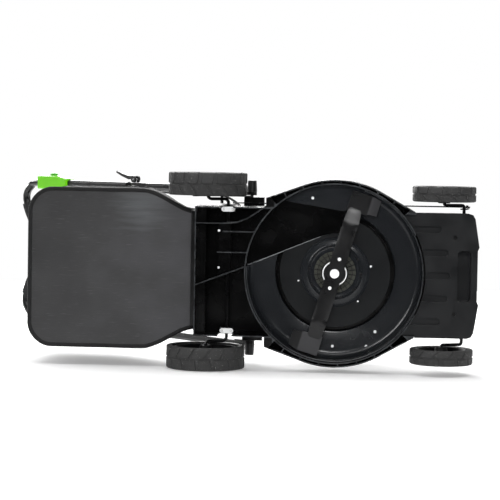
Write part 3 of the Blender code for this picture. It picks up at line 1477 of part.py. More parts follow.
def make_finishes():
    return {
        "deck": material("black_deck_plastic", (0.022, 0.022, 0.024), 0.35),
        "liner": material("black_liner_plastic", (0.028, 0.028, 0.031), 0.30),
        "apron": material("black_apron_plastic", (0.030, 0.030, 0.032), 0.45),
        "zinc": material("zinc_plated_steel", (0.70, 0.70, 0.72), 0.35, 0.9),
        "steel": material("motor_steel", (0.45, 0.45, 0.47), 0.40, 0.8),
        "black_steel": material("black_painted_steel", (0.020, 0.020, 0.021), 0.40),
        "copper": material("copper_windings", (0.60, 0.28, 0.14), 0.40, 0.8),
        "blade": material("black_blade_steel", (0.035, 0.035, 0.038), 0.42),
        "tyre": material("grey_black_tyre", (0.060, 0.060, 0.060), 0.80),
        "rim": material("black_rim_plastic", (0.020, 0.020, 0.021), 0.50),
        "green": material("lime_green_plastic", (0.18, 0.71, 0.005), 0.40),
        "dark_green": material("dark_green_plastic", (0.08, 0.36, 0.01), 0.45),
        "red": material("red_key_plastic", (0.55, 0.03, 0.02), 0.40),
        "foam": material("foam_grip", (0.025, 0.025, 0.025), 0.90),
        "cable": material("cable_sheath", (0.020, 0.020, 0.020), 0.60),
        "bag_base": material("grey_bag_panel", (0.060, 0.060, 0.062), 0.80),
        "cloth": material("black_bag_cloth", (0.020, 0.020, 0.021), 0.90),
    }


def build():
    finish = make_finishes()
    mower = empty("mower", (HUB_X, 0, 0))
    deck = empty("deck", parent=mower)
    rotor = empty("blade_axis", (0, 0, BLADE_Z), mower)
    rear_axle = empty("rear_axle_axis", (REAR_PIVOT[0], 0, REAR_PIVOT[1]), mower)
    front_axle = empty("front_axle_axis", (FRONT_PIVOT[0], 0, FRONT_PIVOT[1]), mower)
    pin = polar(REAR_PIVOT, EAR_ARM, EAR_ANGLE)
    link = empty("height_link_axis", (pin[0], 0, pin[1]), mower)
    make_deck(deck, finish["deck"])
    make_liner(deck, finish["liner"])
    make_axle_guard(deck, finish["deck"])
    make_axle_clamps(deck, finish["zinc"])
    make_apron(deck, finish["apron"])
    make_motor(deck, rotor, finish["steel"], finish["black_steel"], finish["zinc"], finish["copper"])
    make_blade(rotor, finish["blade"])
    make_axles(rear_axle, front_axle, finish["black_steel"])
    make_height_link(link, finish["black_steel"])
    make_height_lever(rear_axle, finish["black_steel"], finish["rim"])
    make_height_sector(deck, finish["black_steel"])
    for place, pivot, size in (("rear", REAR_PIVOT, REAR_WHEEL), ("front", FRONT_PIVOT, FRONT_WHEEL)):
        x, z = crank_end(pivot)
        for name, side in (("left", 1), ("right", -1)):
            wheel = empty(f"{place}_{name}_wheel_axis", (x, side * size[1], z), mower)
            make_wheel(f"{place}_{name}", wheel, pivot, size, side, finish["tyre"], finish["rim"])
    battery = empty("battery_slide", (0, 0, BATTERY_Z[1]), mower)
    key = empty("key_slide", (KEY_X[0], 0, BATTERY_Z[1]), mower)
    lid = empty("battery_door_axis", (BAY[1] + LID_MARGIN, 0, HOOD_Z[1] + GAP + LID_THICK), mower)
    make_hood(deck, finish["deck"])
    make_battery_bay(deck, battery, key, lid, finish["rim"], finish["rim"], finish["red"])
    make_brackets(deck, finish["deck"])
    c = math.cos(HANDLE_ANGLE)
    s = math.sin(HANDLE_ANGLE)
    axes = Matrix(((-c, 0, s), (0, -1, 0), (s, 0, c)))
    frame = empty("handle_frame", (HANDLE_PIVOT[0], 0, HANDLE_PIVOT[1]), mower, axes)
    lower = empty("lower_handle_axis", parent=frame)
    upper = empty("upper_handle_axis", (JOINT_U, 0, 0), frame)
    make_lower_handle(lower, finish["black_steel"], finish["rim"])
    make_upper_handle(upper, finish["black_steel"], finish["foam"])
    make_joint_bolts(lower, finish["zinc"])
    for name, side in (("left", -1), ("right", 1)):
        cam = empty(f"cam_{name}_axis", (JOINT_U, side * CAM_AXIS_Y, 0), frame)
        make_cam_lever(name, side, cam, finish["rim"])
    button = empty("start_button_slide", (BUTTON_U, SWITCH_V[1], 0), frame)
    bail = empty("bail_axis", (BAIL_U, 0, 0), frame)
    make_switch(upper, button, bail, finish["green"], finish["dark_green"], finish["black_steel"])
    make_cables(lower, upper, finish["cable"])
    flap = empty("flap_axis", (FLAP_PIVOT[0], 0, FLAP_PIVOT[1]), mower)
    make_flap(deck, flap, finish["deck"], finish["zinc"])
    bag = empty("bag_slide", (BAG_FRONT, 0, BAG_FLOOR), mower)
    make_bag(bag, finish["bag_base"], finish["cloth"], finish["rim"])


clear_scene()
PARTS = new_collection("electric_lawn_mower")
TOOLS = new_collection("cutters")
build()
bpy.context.view_layer.update()
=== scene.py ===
"""Looks of a cordless lawn mower with grass bag, lying on its left side and seen from below.

Metres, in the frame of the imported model: +X is forward, +Y is the operator's left and +Z is up.
"""

import json
import math

import bmesh
import bpy
from mathutils import Matrix, Vector, noise


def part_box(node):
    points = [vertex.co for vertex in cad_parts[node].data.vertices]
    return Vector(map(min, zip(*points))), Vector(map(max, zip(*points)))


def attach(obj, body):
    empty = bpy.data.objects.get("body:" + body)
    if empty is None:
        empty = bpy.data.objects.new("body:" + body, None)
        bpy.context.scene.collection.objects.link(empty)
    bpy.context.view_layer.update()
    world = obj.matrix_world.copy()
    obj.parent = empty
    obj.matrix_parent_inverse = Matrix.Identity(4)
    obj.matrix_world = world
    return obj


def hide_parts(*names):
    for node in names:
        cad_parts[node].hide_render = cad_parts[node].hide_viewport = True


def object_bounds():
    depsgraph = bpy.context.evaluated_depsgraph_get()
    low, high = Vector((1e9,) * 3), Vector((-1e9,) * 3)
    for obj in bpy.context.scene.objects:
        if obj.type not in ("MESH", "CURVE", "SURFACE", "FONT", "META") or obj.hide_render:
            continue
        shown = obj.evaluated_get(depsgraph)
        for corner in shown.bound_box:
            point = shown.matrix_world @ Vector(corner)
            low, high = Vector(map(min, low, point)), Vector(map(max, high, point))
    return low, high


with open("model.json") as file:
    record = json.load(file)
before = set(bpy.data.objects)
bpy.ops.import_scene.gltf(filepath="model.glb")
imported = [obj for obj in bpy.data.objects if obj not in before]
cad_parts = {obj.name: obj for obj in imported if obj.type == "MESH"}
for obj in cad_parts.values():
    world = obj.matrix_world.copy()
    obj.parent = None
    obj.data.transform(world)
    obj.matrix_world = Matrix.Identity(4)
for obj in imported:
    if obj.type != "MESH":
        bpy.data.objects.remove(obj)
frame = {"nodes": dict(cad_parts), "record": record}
CAD_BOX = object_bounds()

# Camera, as fitted to the photograph
CAMERA_PLACE = Vector((0.3446, -0.2746, -4.5080))
CAMERA_AIM = Vector((0.0820, -0.0521, 0.0500))
CAMERA_ROLL = math.radians(1.129)
CAMERA_LENS = 139.16

# Studio
SIDE_FLOOR_GAP = 0.0010
STAGE_SIZE = 30.0
SIDE_FLOOR_END = 3.0
FLOOR_WHITE = "#F4F4F4"
FLOOR_GLOW = 0.20
GROUND_GLOW = 0.30
FAR_GLOW = 0.60
WORLD_LIGHT = 0.15
DARK_SIDE = 0.02

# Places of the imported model, measured along the machine from the blade's axis at HUB_X
HUB_X = 0.2828
TREAD_PITCH = 0.037
TREAD_DEPTH = 0.0020
REAR_TYRE_INWARD = 0.004
RIM_RIVETS = 8
RIVET_DEPTH = 0.0225
CLAMP_PITCH = 0.0105
DISH_RADIUS = 0.137
DISH_EDGE = 0.1320
LINER_OUTER = 0.2095
LINER_SHEET = 0.0025
LINER_FOOT = 0.046
LINER_LOW = 0.118
LINER_HIGH = 0.1385
LINER_CORNER = 0.019
LINER_END = math.radians(-71)
LINER_STEPS = 96
STRIP_START = math.radians(234.69)
STRIP_TIP = Vector((0.0186, -0.1457))
TUNNEL_THROAT = 0.0915
SKIRT_MIDDLE = HUB_X + 0.0105
SKIRT_REACH = 0.1545
SKIRT_SIDE = 0.1545
RIDGE = (Vector((-0.2100, -0.0125)), Vector((-0.0358, -0.0842)))
BLADE_Z = 0.0502
BLADE_SHEET = 0.0035
BLADE_HALF = 0.0185
BLADE_BAR = 0.120
BLADE_RUN = 0.045
BLADE_RISE = 0.0115
BLADE_CROWN = 0.0045
BLADE_REACH = 0.203
BLADE_ANGLE = math.radians(-73.2)
FOOT_TOP = 0.1177
TIP_ROOT = 0.153
TIP_LEAD = 0.0195
TIP_TRAIL = 0.032
WING_ROOT = 0.0305
WING_SPAN = 0.021
WING_RISE = 0.018
PIN_ANGLE = math.radians(-72.6)
PIN_CIRCLE = 0.036
# Centre of the painted reflection on the bag's bottom panel
PANEL_PAINTED_SHEEN = (HUB_X - 0.470, -0.152, 0.105)
FLUTE_FLOOR = 0.0495
FLUTE_DEPTH = 0.0050
APRON_EDGE = 0.2185
APRON_WELL = (0.282, 0.090)
WELL_FLOOR = 0.0518
BAG_FRONT = -0.345
BAG_REAR = -0.744
BAG_HALF = 0.193
BAG_NECK = 0.1445
BAG_FLOOR = 0.105
NECK_TAB = 0.009
BAG_PANEL = 0.006
BAG_CORNER = 0.058
BAG_BULGE = 0.007
BAG_BINDING = 0.0105
SEAM_SHARES = (0.32, 0.68)
BAG_CREST = (-0.600, 0.376)
BAG_LID = (
    (BAG_FRONT, 0.180),
    (-0.470, 0.300),
    (-0.540, 0.357),
    BAG_CREST,
    (-0.700, 0.376),
    (BAG_REAR, 0.352),
)
HANDLE_SLOPE = math.radians(47)
SWITCH_WAIST = 0.885
SWITCH_DRAW = 0.38

CORD_SIDES = 8
TURN = 2 * math.pi
MM = 0.001
UP = (0, 0, 1)
RAGGED = 0.55


# Small helpers
def linear(code):
    """Scene colour of an sRGB hex value such as #76DE06."""
    channels = [int(code[n:n + 2], 16) / 255 for n in (1, 3, 5)]
    low = [c / 12.92 if c <= 0.04045 else ((c + 0.055) / 1.055) ** 2.4 for c in channels]
    return (*low, 1.0)


def add(tree, kind, sockets=(), output=0, **settings):
    """Adds a shader node with its settings and gives one of its outputs. A socket takes a plain value or
    another node's output, and the sockets are named or stand in their order. A Mix node's two colours are
    its sockets 6 and 7, and its colour output is 2. A noise's patches are about 1 / Scale metres across."""
    made = tree.nodes.new("ShaderNode" + kind)
    for name, value in settings.items():
        setattr(made, name, value)
    for name, value in sockets.items() if isinstance(sockets, dict) else enumerate(sockets):
        if isinstance(value, bpy.types.NodeSocket):
            tree.links.new(value, made.inputs[name])
        else:
            made.inputs[name].default_value = value
    return made.outputs[output]


def new_material(name, roughness, metallic=0.0, ior=1.5):
    """A material with its node tree, its Principled shader and the place on the piece, for the finishes."""
    made = bpy.data.materials.new(name)
    made.use_nodes = True
    tree = made.node_tree
    shader = tree.nodes["Principled BSDF"]
    shader.inputs["Roughness"].default_value = roughness
    shader.inputs["Metallic"].default_value = metallic
    if metallic < 0.5:
        shader.inputs["IOR"].default_value = ior
    return made, tree, shader, add(tree, "TexCoord", output="Object")


def link_all(tree, node, **sockets):
    """Links outputs of other nodes to a node's sockets, whose names have an underscore for each space."""
    for name, output in sockets.items():
        tree.links.new(output, node.inputs[name.replace("_", " ")])


def coloured(ramp, *codes):
    """Spreads hex colours evenly along a colour ramp."""
    stops = ramp.node.color_ramp.elements
    while len(stops) < len(codes):
        stops.new(1.0)
    for n, code in enumerate(codes):
        stops[n].position = n / (len(codes) - 1)
        stops[n].color = linear(code)
    return ramp


# Finishes
def moulded(name, dark, light, roughness, grain, depth, ior=1.49, smudge=0.08):
    """Injection moulded plastic: the tool's etched grain scatters the light, and handling leaves
    patches that shine a little more or less."""
    made, tree, shader, place = new_material(name, roughness, ior=ior)
    cloud = add(tree, "TexNoise", {"Vector": place, "Scale": 1 / (60 * MM), "Roughness": RAGGED})
    fine = add(tree, "TexNoise", {"Vector": place, "Scale": 1 / grain, "Detail": 3.0, "Roughness": RAGGED})
    link_all(tree, shader,
             Base_Color=coloured(add(tree, "ValToRGB", (cloud,)), dark, light),
             Roughness=add(tree, "MapRange", (cloud, 0.3, 0.7, roughness - smudge, roughness + smudge)),
             Normal=add(tree, "Bump", {"Height": fine, "Distance": depth}))
    return made


def painted_edge_highlight(made, edge, fade, colour):
    """Pale painted highlights on the lowest edges of a black moulding, where its rim catches the light,
    broken up by noise. The broad corners of the skirt sit a little higher at both ends and get none."""
    tree = made.node_tree
    shader = tree.nodes["Principled BSDF"]
    place = add(tree, "TexCoord", output="Object")
    parts = add(tree, "SeparateXYZ", {"Vector": place}).node.outputs
    low = add(tree, "MapRange", (parts["Z"], edge, edge + fade, 1.0, 0.0))
    highlight_breakup = add(tree, "TexNoise", {
        "Vector": place, "Scale": 1 / (22 * MM), "Detail": 3.0, "Roughness": RAGGED})
    highlight_strength = add(tree, "MapRange", (highlight_breakup, 0.30, 0.62, 0.25, 1.0))
    side = add(tree, "Math", (parts["Y"],), operation="ABSOLUTE")
    along = add(tree, "Math", (parts["X"], SKIRT_MIDDLE), operation="SUBTRACT")
    ends = add(tree, "Math", (along,), operation="ABSOLUTE")
    beside = add(tree, "MapRange", (side, SKIRT_SIDE, SKIRT_SIDE + 0.0005, 0.0, 1.0))
    beyond = add(tree, "MapRange", (ends, SKIRT_REACH, SKIRT_REACH + 0.001, 0.0, 1.0))
    broad = add(tree, "Math", (beside, beyond), operation="MULTIPLY")
    narrow = add(tree, "Math", (1.0, broad), operation="SUBTRACT")
    kept = add(tree, "Math", (low, narrow), operation="MULTIPLY")
    share = add(tree, "Math", (kept, highlight_strength), operation="MULTIPLY")
    clean = shader.inputs["Base Color"].links[0].from_socket
    link_all(tree, shader,
             Base_Color=add(tree, "Mix", {0: share, 6: clean, 7: linear(colour)}, 2, data_type="RGBA"))
    return made


def painted_steel(name, dark, light, roughness, ior=1.5):
    """Powder coat on steel: the fused powder leaves a faint orange peel of about a millimetre."""
    made, tree, shader, place = new_material(name, roughness, ior=ior)
    peel = add(tree, "TexNoise", {
        "Vector": place, "Scale": 1 / (1.4 * MM), "Detail": 1.0, "Roughness": RAGGED})
    cloud = add(tree, "TexNoise", {"Vector": place, "Scale": 1 / (45 * MM), "Roughness": RAGGED})
    link_all(tree, shader,
             Base_Color=coloured(add(tree, "ValToRGB", (cloud,)), dark, light),
             Normal=add(tree, "Bump", {"Height": peel, "Distance": 0.06 * MM}),
             Roughness=add(tree, "MapRange", (cloud, 0.3, 0.7, roughness - 0.06, roughness + 0.08)))
    return made


def zinc_plate(name):
    """Blue passivated zinc: bright and milky, because the bath leaves a fine spangle that scatters light."""
    made, tree, shader, place = new_material(name, 0.34)
    spangle = add(tree, "TexVoronoi", {"Vector": place, "Scale": 1 / (1.2 * MM)})
    cloud = add(tree, "TexNoise", {"Vector": place, "Scale": 1 / (9 * MM), "Roughness": RAGGED})
    link_all(tree, shader,
             Base_Color=coloured(add(tree, "ValToRGB", (cloud,)), "#F2F4F5", "#FDFEFE"),
             Roughness=add(tree, "MapRange", (spangle, 0.0, 0.8, 0.28, 0.46)))
    return made


def rubber(name):
    """Tyre rubber: dull and slightly chalky, with pale specks that are partly scuffs and dust caught in the
    rough moulding and partly painted glints on the tread's edges.
    """
    made, tree, shader, place = new_material(name, 0.68)
    cloud = add(tree, "TexNoise", {
        "Vector": place, "Scale": 1 / (26 * MM), "Detail": 4.0, "Roughness": RAGGED})
    base = coloured(add(tree, "ValToRGB", (cloud,)), "#1F1F20", "#292929", "#363637")
    speck_noise = add(tree, "TexNoise", {
        "Vector": place, "Scale": 1 / (3.2 * MM), "Detail": 4.0, "Roughness": RAGGED})
    # Pale specks: part dust, part painted glints
    dust_and_glint_specks = add(tree, "MapRange", (speck_noise, 0.64, 0.70, 0.0, 0.8))
    rough = add(tree, "TexNoise", {
        "Vector": place, "Scale": 1 / (2.4 * MM), "Detail": 4.0, "Roughness": RAGGED})
    link_all(tree, shader,
             Base_Color=add(tree, "Mix", {0: dust_and_glint_specks, 6: base, 7: linear("#7A7A78")}, 2, data_type="RGBA"),
             Normal=add(tree, "Bump", {"Height": rough, "Distance": 0.35 * MM}),
             Roughness=add(tree, "MapRange", (cloud, 0.3, 0.7, 0.58, 0.78)))
    return made


def machined_steel(name):
    """Turned steel: the tool's feed marks scatter the highlight. They are drawn at 0.8 mm, because real
    ones of a tenth of that would be too fine to show."""
    made, tree, shader, place = new_material(name, 0.34, metallic=1.0)
    streak = add(tree, "TexNoise", {"Vector": place, "Scale": 1 / (0.8 * MM), "Roughness": RAGGED})
    link_all(tree, shader,
             Base_Color=coloured(add(tree, "ValToRGB", (streak,)), "#8C8E90", "#B9BBBC"),
             Normal=add(tree, "Bump", {"Height": streak, "Distance": 0.02 * MM}))
    return made


def woven(name, dark, light, pitch, depth):
    """Plain woven polyester: warp and weft cross over and under, so the cloth is all small cushions. Its
    threads are drawn about twice as coarse as real ones, which would be too fine to show."""
    made, tree, shader, place = new_material(name, 0.82, ior=1.45)
    parts = add(tree, "SeparateXYZ", {"Vector": place}).node.outputs
    run = add(tree, "Math", (parts["X"], parts["Y"]), operation="ADD")
    waves = []
    for value in (run, parts["Z"]):
        turns = add(tree, "Math", (value, TURN / pitch), operation="MULTIPLY")
        waves.append(add(tree, "Math", (turns,), operation="SINE"))
    cross = add(tree, "Math", waves, operation="MULTIPLY")
    height = add(tree, "MapRange", (cross, -1.0, 1.0, 0.0, 1.0))
    cloud = add(tree, "TexNoise", {"Vector": place, "Scale": 1 / (50 * MM), "Roughness": RAGGED})
    link_all(tree, shader,
             Base_Color=coloured(add(tree, "ValToRGB", (cloud,)), dark, light),
             Normal=add(tree, "Bump", {"Height": height, "Distance": depth}))
    shader.inputs["Sheen Weight"].default_value = 0.15
    shader.inputs["Sheen Roughness"].default_value = 0.5
    return made


def coated_panel(name):
    """Grey coated board of the bag's bottom: fine scratches run across the machine where it was
    slid about. A paler patch near the right shoulder is a painted reflection, and the board is
    painted lighter towards the front as painted light."""
    made, tree, shader, place = new_material(name, 0.55)
    cloud = add(tree, "TexNoise", {"Vector": place, "Scale": 1 / (110 * MM), "Roughness": RAGGED})
    brushed = add(tree, "Mapping", {"Vector": place, "Scale": (0.09, 1.0, 1.0)}, output="Vector")
    scratch = add(tree, "TexNoise", {
        "Vector": brushed, "Scale": 1 / (1.6 * MM), "Detail": 3.0, "Roughness": RAGGED})
    # Painted reflection: a paler patch round a place near the right shoulder
    away = add(tree, "VectorMath", (place, PANEL_PAINTED_SHEEN), output="Value", operation="DISTANCE")
    border = add(tree, "TexNoise", {
        "Vector": brushed, "Scale": 1 / (9 * MM), "Detail": 4.0, "Roughness": RAGGED})
    ragged = add(tree, "MapRange", (border, 0.3, 0.7, -0.035, 0.035))
    edge = add(tree, "Math", (away, ragged), operation="ADD")
    painted_sheen = add(tree, "MapRange", (edge, 0.0, 0.075, 0.6, 0.0))
    forward = add(tree, "SeparateXYZ", {"Vector": place}, output="X")
    clouds = add(tree, "MapRange", (cloud, 0.3, 0.7, 0.0, 0.35))
    # Painted light: the board grows lighter towards the front
    painted_light_slope = add(tree, "MapRange", (forward, HUB_X + BAG_REAR, HUB_X + BAG_FRONT, 0.0, 0.65))
    tone = add(tree, "Math", (clouds, painted_light_slope), operation="ADD")
    base = coloured(add(tree, "ValToRGB", (tone,)), "#272728", "#323233", "#434346")
    paler = add(tree, "Mix", {0: painted_sheen, 6: base, 7: linear("#505355")}, 2, data_type="RGBA")
    marks = add(tree, "TexNoise", {"Vector": brushed, "Scale": 1 / (2.6 * MM), "Roughness": RAGGED})
    dashes = add(tree, "MapRange", (marks, 0.62, 0.74, 0.0, 0.32))
    link_all(tree, shader,
             Base_Color=add(tree, "Mix", {0: dashes, 6: paler, 7: linear("#59595A")}, 2, data_type="RGBA"),
             Roughness=add(tree, "MapRange", (scratch, 0.35, 0.65, 0.48, 0.62)),
             Normal=add(tree, "Bump", {"Height": scratch, "Distance": 0.05 * MM}))
    return made


def make_finishes():
    """Every finish by the name of the record's slot."""
    return {
        # Deck and liner carry painted highlights along their lowest edges
        "deck_plastic": painted_edge_highlight(
            moulded("black_polypropylene", "#050505", "#080809", 0.26, 0.5 * MM, 0.01 * MM, 1.43),
            0.0406, 0.6 * MM, "#37393B"),
        "liner_plastic": painted_edge_highlight(
            moulded("black_polyethylene", "#191B1E", "#202225", 0.25, 0.9 * MM, 0.01 * MM, 1.52, 0.03),
            0.0464, 0.5 * MM, "#333537"),
        "dish_plastic": moulded(
            "smooth_black_polyethylene", "#101113", "#151719", 0.34, 0.9 * MM, 0.01 * MM, 1.50, 0.03),
        # Pale finish of the tunnel's lip: a painted highlight
        "painted_lip_highlight": moulded("lip_painted_highlight", "#5C5F61", "#A2A5A7", 0.30, 20 * MM, 0.01 * MM),
        "apron_plastic": moulded(
            "grained_polypropylene", "#0F1012", "#151618", 0.38, 0.6 * MM, 0.03 * MM, 1.52),
        "zinc": zinc_plate("zinc_plated_steel"),
        "steel": machined_steel("turned_steel"),
        "black_steel": painted_steel("black_powder_coat", "#070708", "#0D0D0E", 0.30, 1.40),
        "copper": machined_steel("lacquered_windings"),
        "blade_steel": painted_steel("black_coated_blade_steel", "#101011", "#19191A", 0.31),
        # Lighter coat for one tip face and the other wing: a painted highlight
        "blade_painted_highlight": painted_steel("blade_coat_painted_highlight", "#2C2C2E", "#38383A", 0.42),
        "tyre": rubber("grey_black_tyre_rubber"),
        "black_plastic": moulded("black_nylon", "#0B0B0C", "#121213", 0.40, 0.4 * MM, 0.02 * MM, 1.50),
        "rim_plastic": moulded(
            "matt_black_rim_nylon", "#050506", "#09090A", 0.58, 0.4 * MM, 0.03 * MM, 1.38),
        "green": moulded("lime_green_abs", "#62BD04", "#6CC908", 0.36, 0.5 * MM, 0.02 * MM, 1.42),
        "dark_green": moulded("green_abs", "#3F9A12", "#4BA91B", 0.38, 0.5 * MM, 0.02 * MM, 1.53),
        "red": moulded("red_abs", "#B3150E", "#C42016", 0.36, 0.5 * MM, 0.02 * MM, 1.53),
        "foam": moulded("closed_cell_foam", "#19191A", "#232324", 0.88, 0.9 * MM, 0.25 * MM, 1.45, 0.04),
        "cable": moulded("black_pvc_sheath", "#101011", "#171718", 0.48, 0.5 * MM, 0.01 * MM, 1.53),
        "bag_panel": coated_panel("grey_coated_bag_panel"),
        "cloth": woven("black_polyester_mesh", "#111112", "#1D1D1E", 1.6 * MM, 0.35 * MM),
        "webbing": woven("black_polypropylene_webbing", "#070708", "#0F0F10", 1.2 * MM, 0.20 * MM),
        "piping": moulded("grey_vinyl_piping", "#4A4B4C", "#5C5D5E", 0.40, 0.8 * MM, 0.02 * MM),
        "cast_bell": moulded("raw_cast_aluminium", "#2E2F2B", "#4E4F47", 0.42, 0.8 * MM, 0.03 * MM),
        # Near black for the insides of holes and recesses: painted shade
        "hole_shadow": moulded("painted_hole_shade", "#020202", "#040404", 0.60, 0.8 * MM, 0.01 * MM),
    }


# Meshes
def put(name, data):
    """A new object in the scene."""
    made = bpy.data.objects.new(name, data)
    bpy.context.scene.collection.objects.link(made)
    return made


def piece_from(mesh, finish, body, slot_name, *nodes, name=None):
    """A piece of the scene with its finish, riding on a body and standing for CAD nodes. It has the name of
    its mesh where no other is given."""
    piece = put(name or mesh.name, mesh)
    mesh.materials.clear()
    mesh.materials.append(FINISHES[finish])
    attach(piece, body)
    if nodes:
        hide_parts(*nodes)
    return piece


def node_body(node):
    bodies = frame["record"]["behaviour"]["bodies"]
    return next(body for body, members in bodies.items() if node in members)


def refined(node, radius=0.5 * MM, steps=2):
    """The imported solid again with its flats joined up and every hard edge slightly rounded."""
    source = frame["nodes"][node].data
    shape = bmesh.new()
    shape.from_mesh(source)
    bmesh.ops.remove_doubles(shape, verts=shape.verts, dist=0.00002)
    bmesh.ops.dissolve_limit(shape, angle_limit=math.radians(0.8), verts=shape.verts, edges=shape.edges)
    mesh = bpy.data.meshes.new(node)
    shape.to_mesh(mesh)
    shape.free()
    if "custom_normal" in mesh.attributes:
        mesh.attributes.remove(mesh.attributes["custom_normal"])
    mesh.shade_smooth()
    slot_name = SLOT_OF[node]
    finish = "rim_plastic" if node.endswith("_rim") else slot_name
    piece = piece_from(mesh, finish, node_body(node), slot_name, node, name=node + "_finished")
    if radius:
        soften(piece, radius, steps)
    return piece


def joint_place(name):
    joint = next(j for j in frame["record"]["behaviour"]["joints"] if j["name"] == name)
    return Vector(joint["pos_m"])


def node_size(node):
    """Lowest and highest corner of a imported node."""
    low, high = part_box(node)
    return Vector(low), Vector(high)


def mesh_of(name, shape, angle=None):
    """The mesh of a shape, with its faces outward and smooth across edges of less than an angle."""
    bmesh.ops.recalc_face_normals(shape, faces=shape.faces)
    mesh = bpy.data.meshes.new(name)
    shape.to_mesh(mesh)
    shape.free()
    if angle:
        mesh.shade_smooth()
        mesh.set_sharp_from_angle(angle=math.radians(angle))
    return mesh


def bridge_rows(shape, rows, closed):
    """Faces between rows of vertices of equal length."""
    count = len(rows[0])
    for lower, upper in zip(rows, rows[1:]):
        for n in range(count if closed else count - 1):
            m = (n + 1) % count
            shape.faces.new((lower[n], lower[m], upper[m], upper[n]))


def turned_mesh(name, profile, sides, place, angle=None, axis=UP):
    """Turns (radius, height) points about an axis through a place. A first or last radius of 0 is closed."""
    shape = bmesh.new()
    frame_of_axis = Vector(UP).rotation_difference(Vector(axis)).to_matrix()
    rows = []
    for radius, height in profile:
        row = []
        for n in range(sides):
            a = TURN * n / sides
            local = Vector((radius * math.cos(a), radius * math.sin(a), height))
            row.append(shape.verts.new(Vector(place) + frame_of_axis @ local))
        rows.append(row)
    bridge_rows(shape, rows, True)
    bmesh.ops.remove_doubles(shape, verts=shape.verts, dist=0.000001)
    return mesh_of(name, shape, angle)


# Wheels
def tread_columns():
    """Places across one pitch of the tread, with the height of the left and right block at each."""
    return (
        (0.000, 1, 1),
        (0.030, 0, 1),
        (0.150, 0, 1),
        (0.180, 1, 1),
        (0.340, 1, 1),
        (0.460, 1, 1),
        (0.490, 1, 0),
        (0.620, 1, 0),
        (0.750, 1, 0),
        (0.780, 1, 1),
    )


def tyre_rows(radius, width, bead):
    """Places across the tyre, each with its distance from the inner face, its radius without blocks, the
    share of a block's height that it has, and its side."""
    base = radius - TREAD_DEPTH
    middle = width / 2
    first = (
        (0.0015, bead, 0),
        (0.0004, bead + 0.003, 0),
        (0.0004, radius - 0.0045, 0),
        (0.0009, radius - 0.0028, 0.15),
        (0.0021, base - 0.0006, 0.85),
        (0.0040, base - 0.0001, 1),
        (middle - 0.0024, base, 1),
        (middle - 0.0017, base, 0),
    )
    return [(*row, 0) for row in first] + [(width - away, *row, 1) for away, *row in first[::-1]]


def make_tyre(wheel, side):
    """A tyre with two rows of slanted blocks and a groove between them."""
    node = wheel + "_tyre"
    low, high = node_size(node)
    radius = (high.z - low.z) / 2
    centre = (low + high) / 2
    inward = REAR_TYRE_INWARD if wheel.startswith("rear") else 0.0
    width = high.y - low.y + inward
    inner = low.y - inward if side > 0 else high.y + inward
    pitches = round(TURN * radius / TREAD_PITCH)
    bead = radius - 0.014
    shape = bmesh.new()
    rows = []
    for away, base, share, half in tyre_rows(radius, width, bead):
        slant = abs(away - width / 2) / width * (0.25 if half else 0.9)
        row = []
        for pitch in range(pitches):
            for place, left, right in tread_columns():
                block = (left, right)[half] * share * TREAD_DEPTH
                a = TURN * (pitch + place + slant) / pitches
                reach = base + block
                x = centre.x + reach * math.cos(a)
                z = centre.z + reach * math.sin(a)
                row.append(shape.verts.new((x, inner + side * away, z)))
        rows.append(row)
    bridge_rows(shape, rows, True)
    piece_from(mesh_of(wheel + "_tread", shape, 24), "tyre", wheel + "_wheel", "tyre", node)


def make_rivets(wheel, side):
    """Bright rivet heads in a ring on the inner side of the rim."""
    low, high = node_size(wheel + "_rim")
    centre = (low + high) / 2
    face = (low.y + RIVET_DEPTH) if side > 0 else (high.y - RIVET_DEPTH)
    ring = (high.z - low.z) * 0.17
    head = ((0, 0.0016), (0.0012, 0.0015), (0.0022, 0.0008), (0.0025, 0.0), (0.0025, -0.004))
    for n in range(RIM_RIVETS):
        a = TURN * (n + 0.5) / RIM_RIVETS
        place = Vector((centre.x + ring * math.cos(a), face, centre.z + ring * math.sin(a)))
        mesh = turned_mesh(f"{wheel}_rivet_{n}", head, 10, place, 40, (0, -side, 0))
        piece_from(mesh, "zinc", wheel + "_wheel", "zinc")


# Shapes shared by several pieces
def at_hub(x, y, z):
    """A place measured from the blade's axis."""
    return Vector((HUB_X + x, y, z))


def polar(radius, angle, z):
    """A place at a distance from the blade's axis, in a direction counted from straight ahead."""
    return at_hub(radius * math.cos(angle), radius * math.sin(angle), z)


def smoothstep(value, low, high):
    t = min(max((value - low) / (high - low), 0.0), 1.0)
    return t * t * (3 - 2 * t)


def smooth_path(points, steps):
    """Extra points on a soft curve through the given ones."""
    points = [Vector(p) for p in points]
    ends = [2 * points[0] - points[1]] + points + [2 * points[-1] - points[-2]]
    made = []
    for before, start, end, after in zip(ends, ends[1:], ends[2:], ends[3:]):
        for n in range(steps):
            t = n / steps
            way = (end - before) * t + (2 * before - 5 * start + 4 * end - after) * t**2
            way += (3 * start - before - 3 * end + after) * t**3
            made.append(start + way / 2)
    return made + [points[-1]]


def rim_of(rows):
    """The border of a grid, once round."""
    right = [row[-1] for row in rows[1:]]
    left = [row[0] for row in rows[-2:0:-1]]
    return rows[0] + right + rows[-1][-2::-1] + left


def plate_mesh(name, grid, thick, angle):
    """A sheet between a grid of points and the same grid moved up by the sheet's thickness."""
    shape = bmesh.new()
    near = [[shape.verts.new(p) for p in row] for row in grid]
    far = [[shape.verts.new(p + Vector((0, 0, thick))) for p in row] for row in grid]
    bridge_rows(shape, near, False)
    bridge_rows(shape, far, False)
    bridge_rows(shape, [rim_of(near), rim_of(far)], True)
    return mesh_of(name, shape, angle)


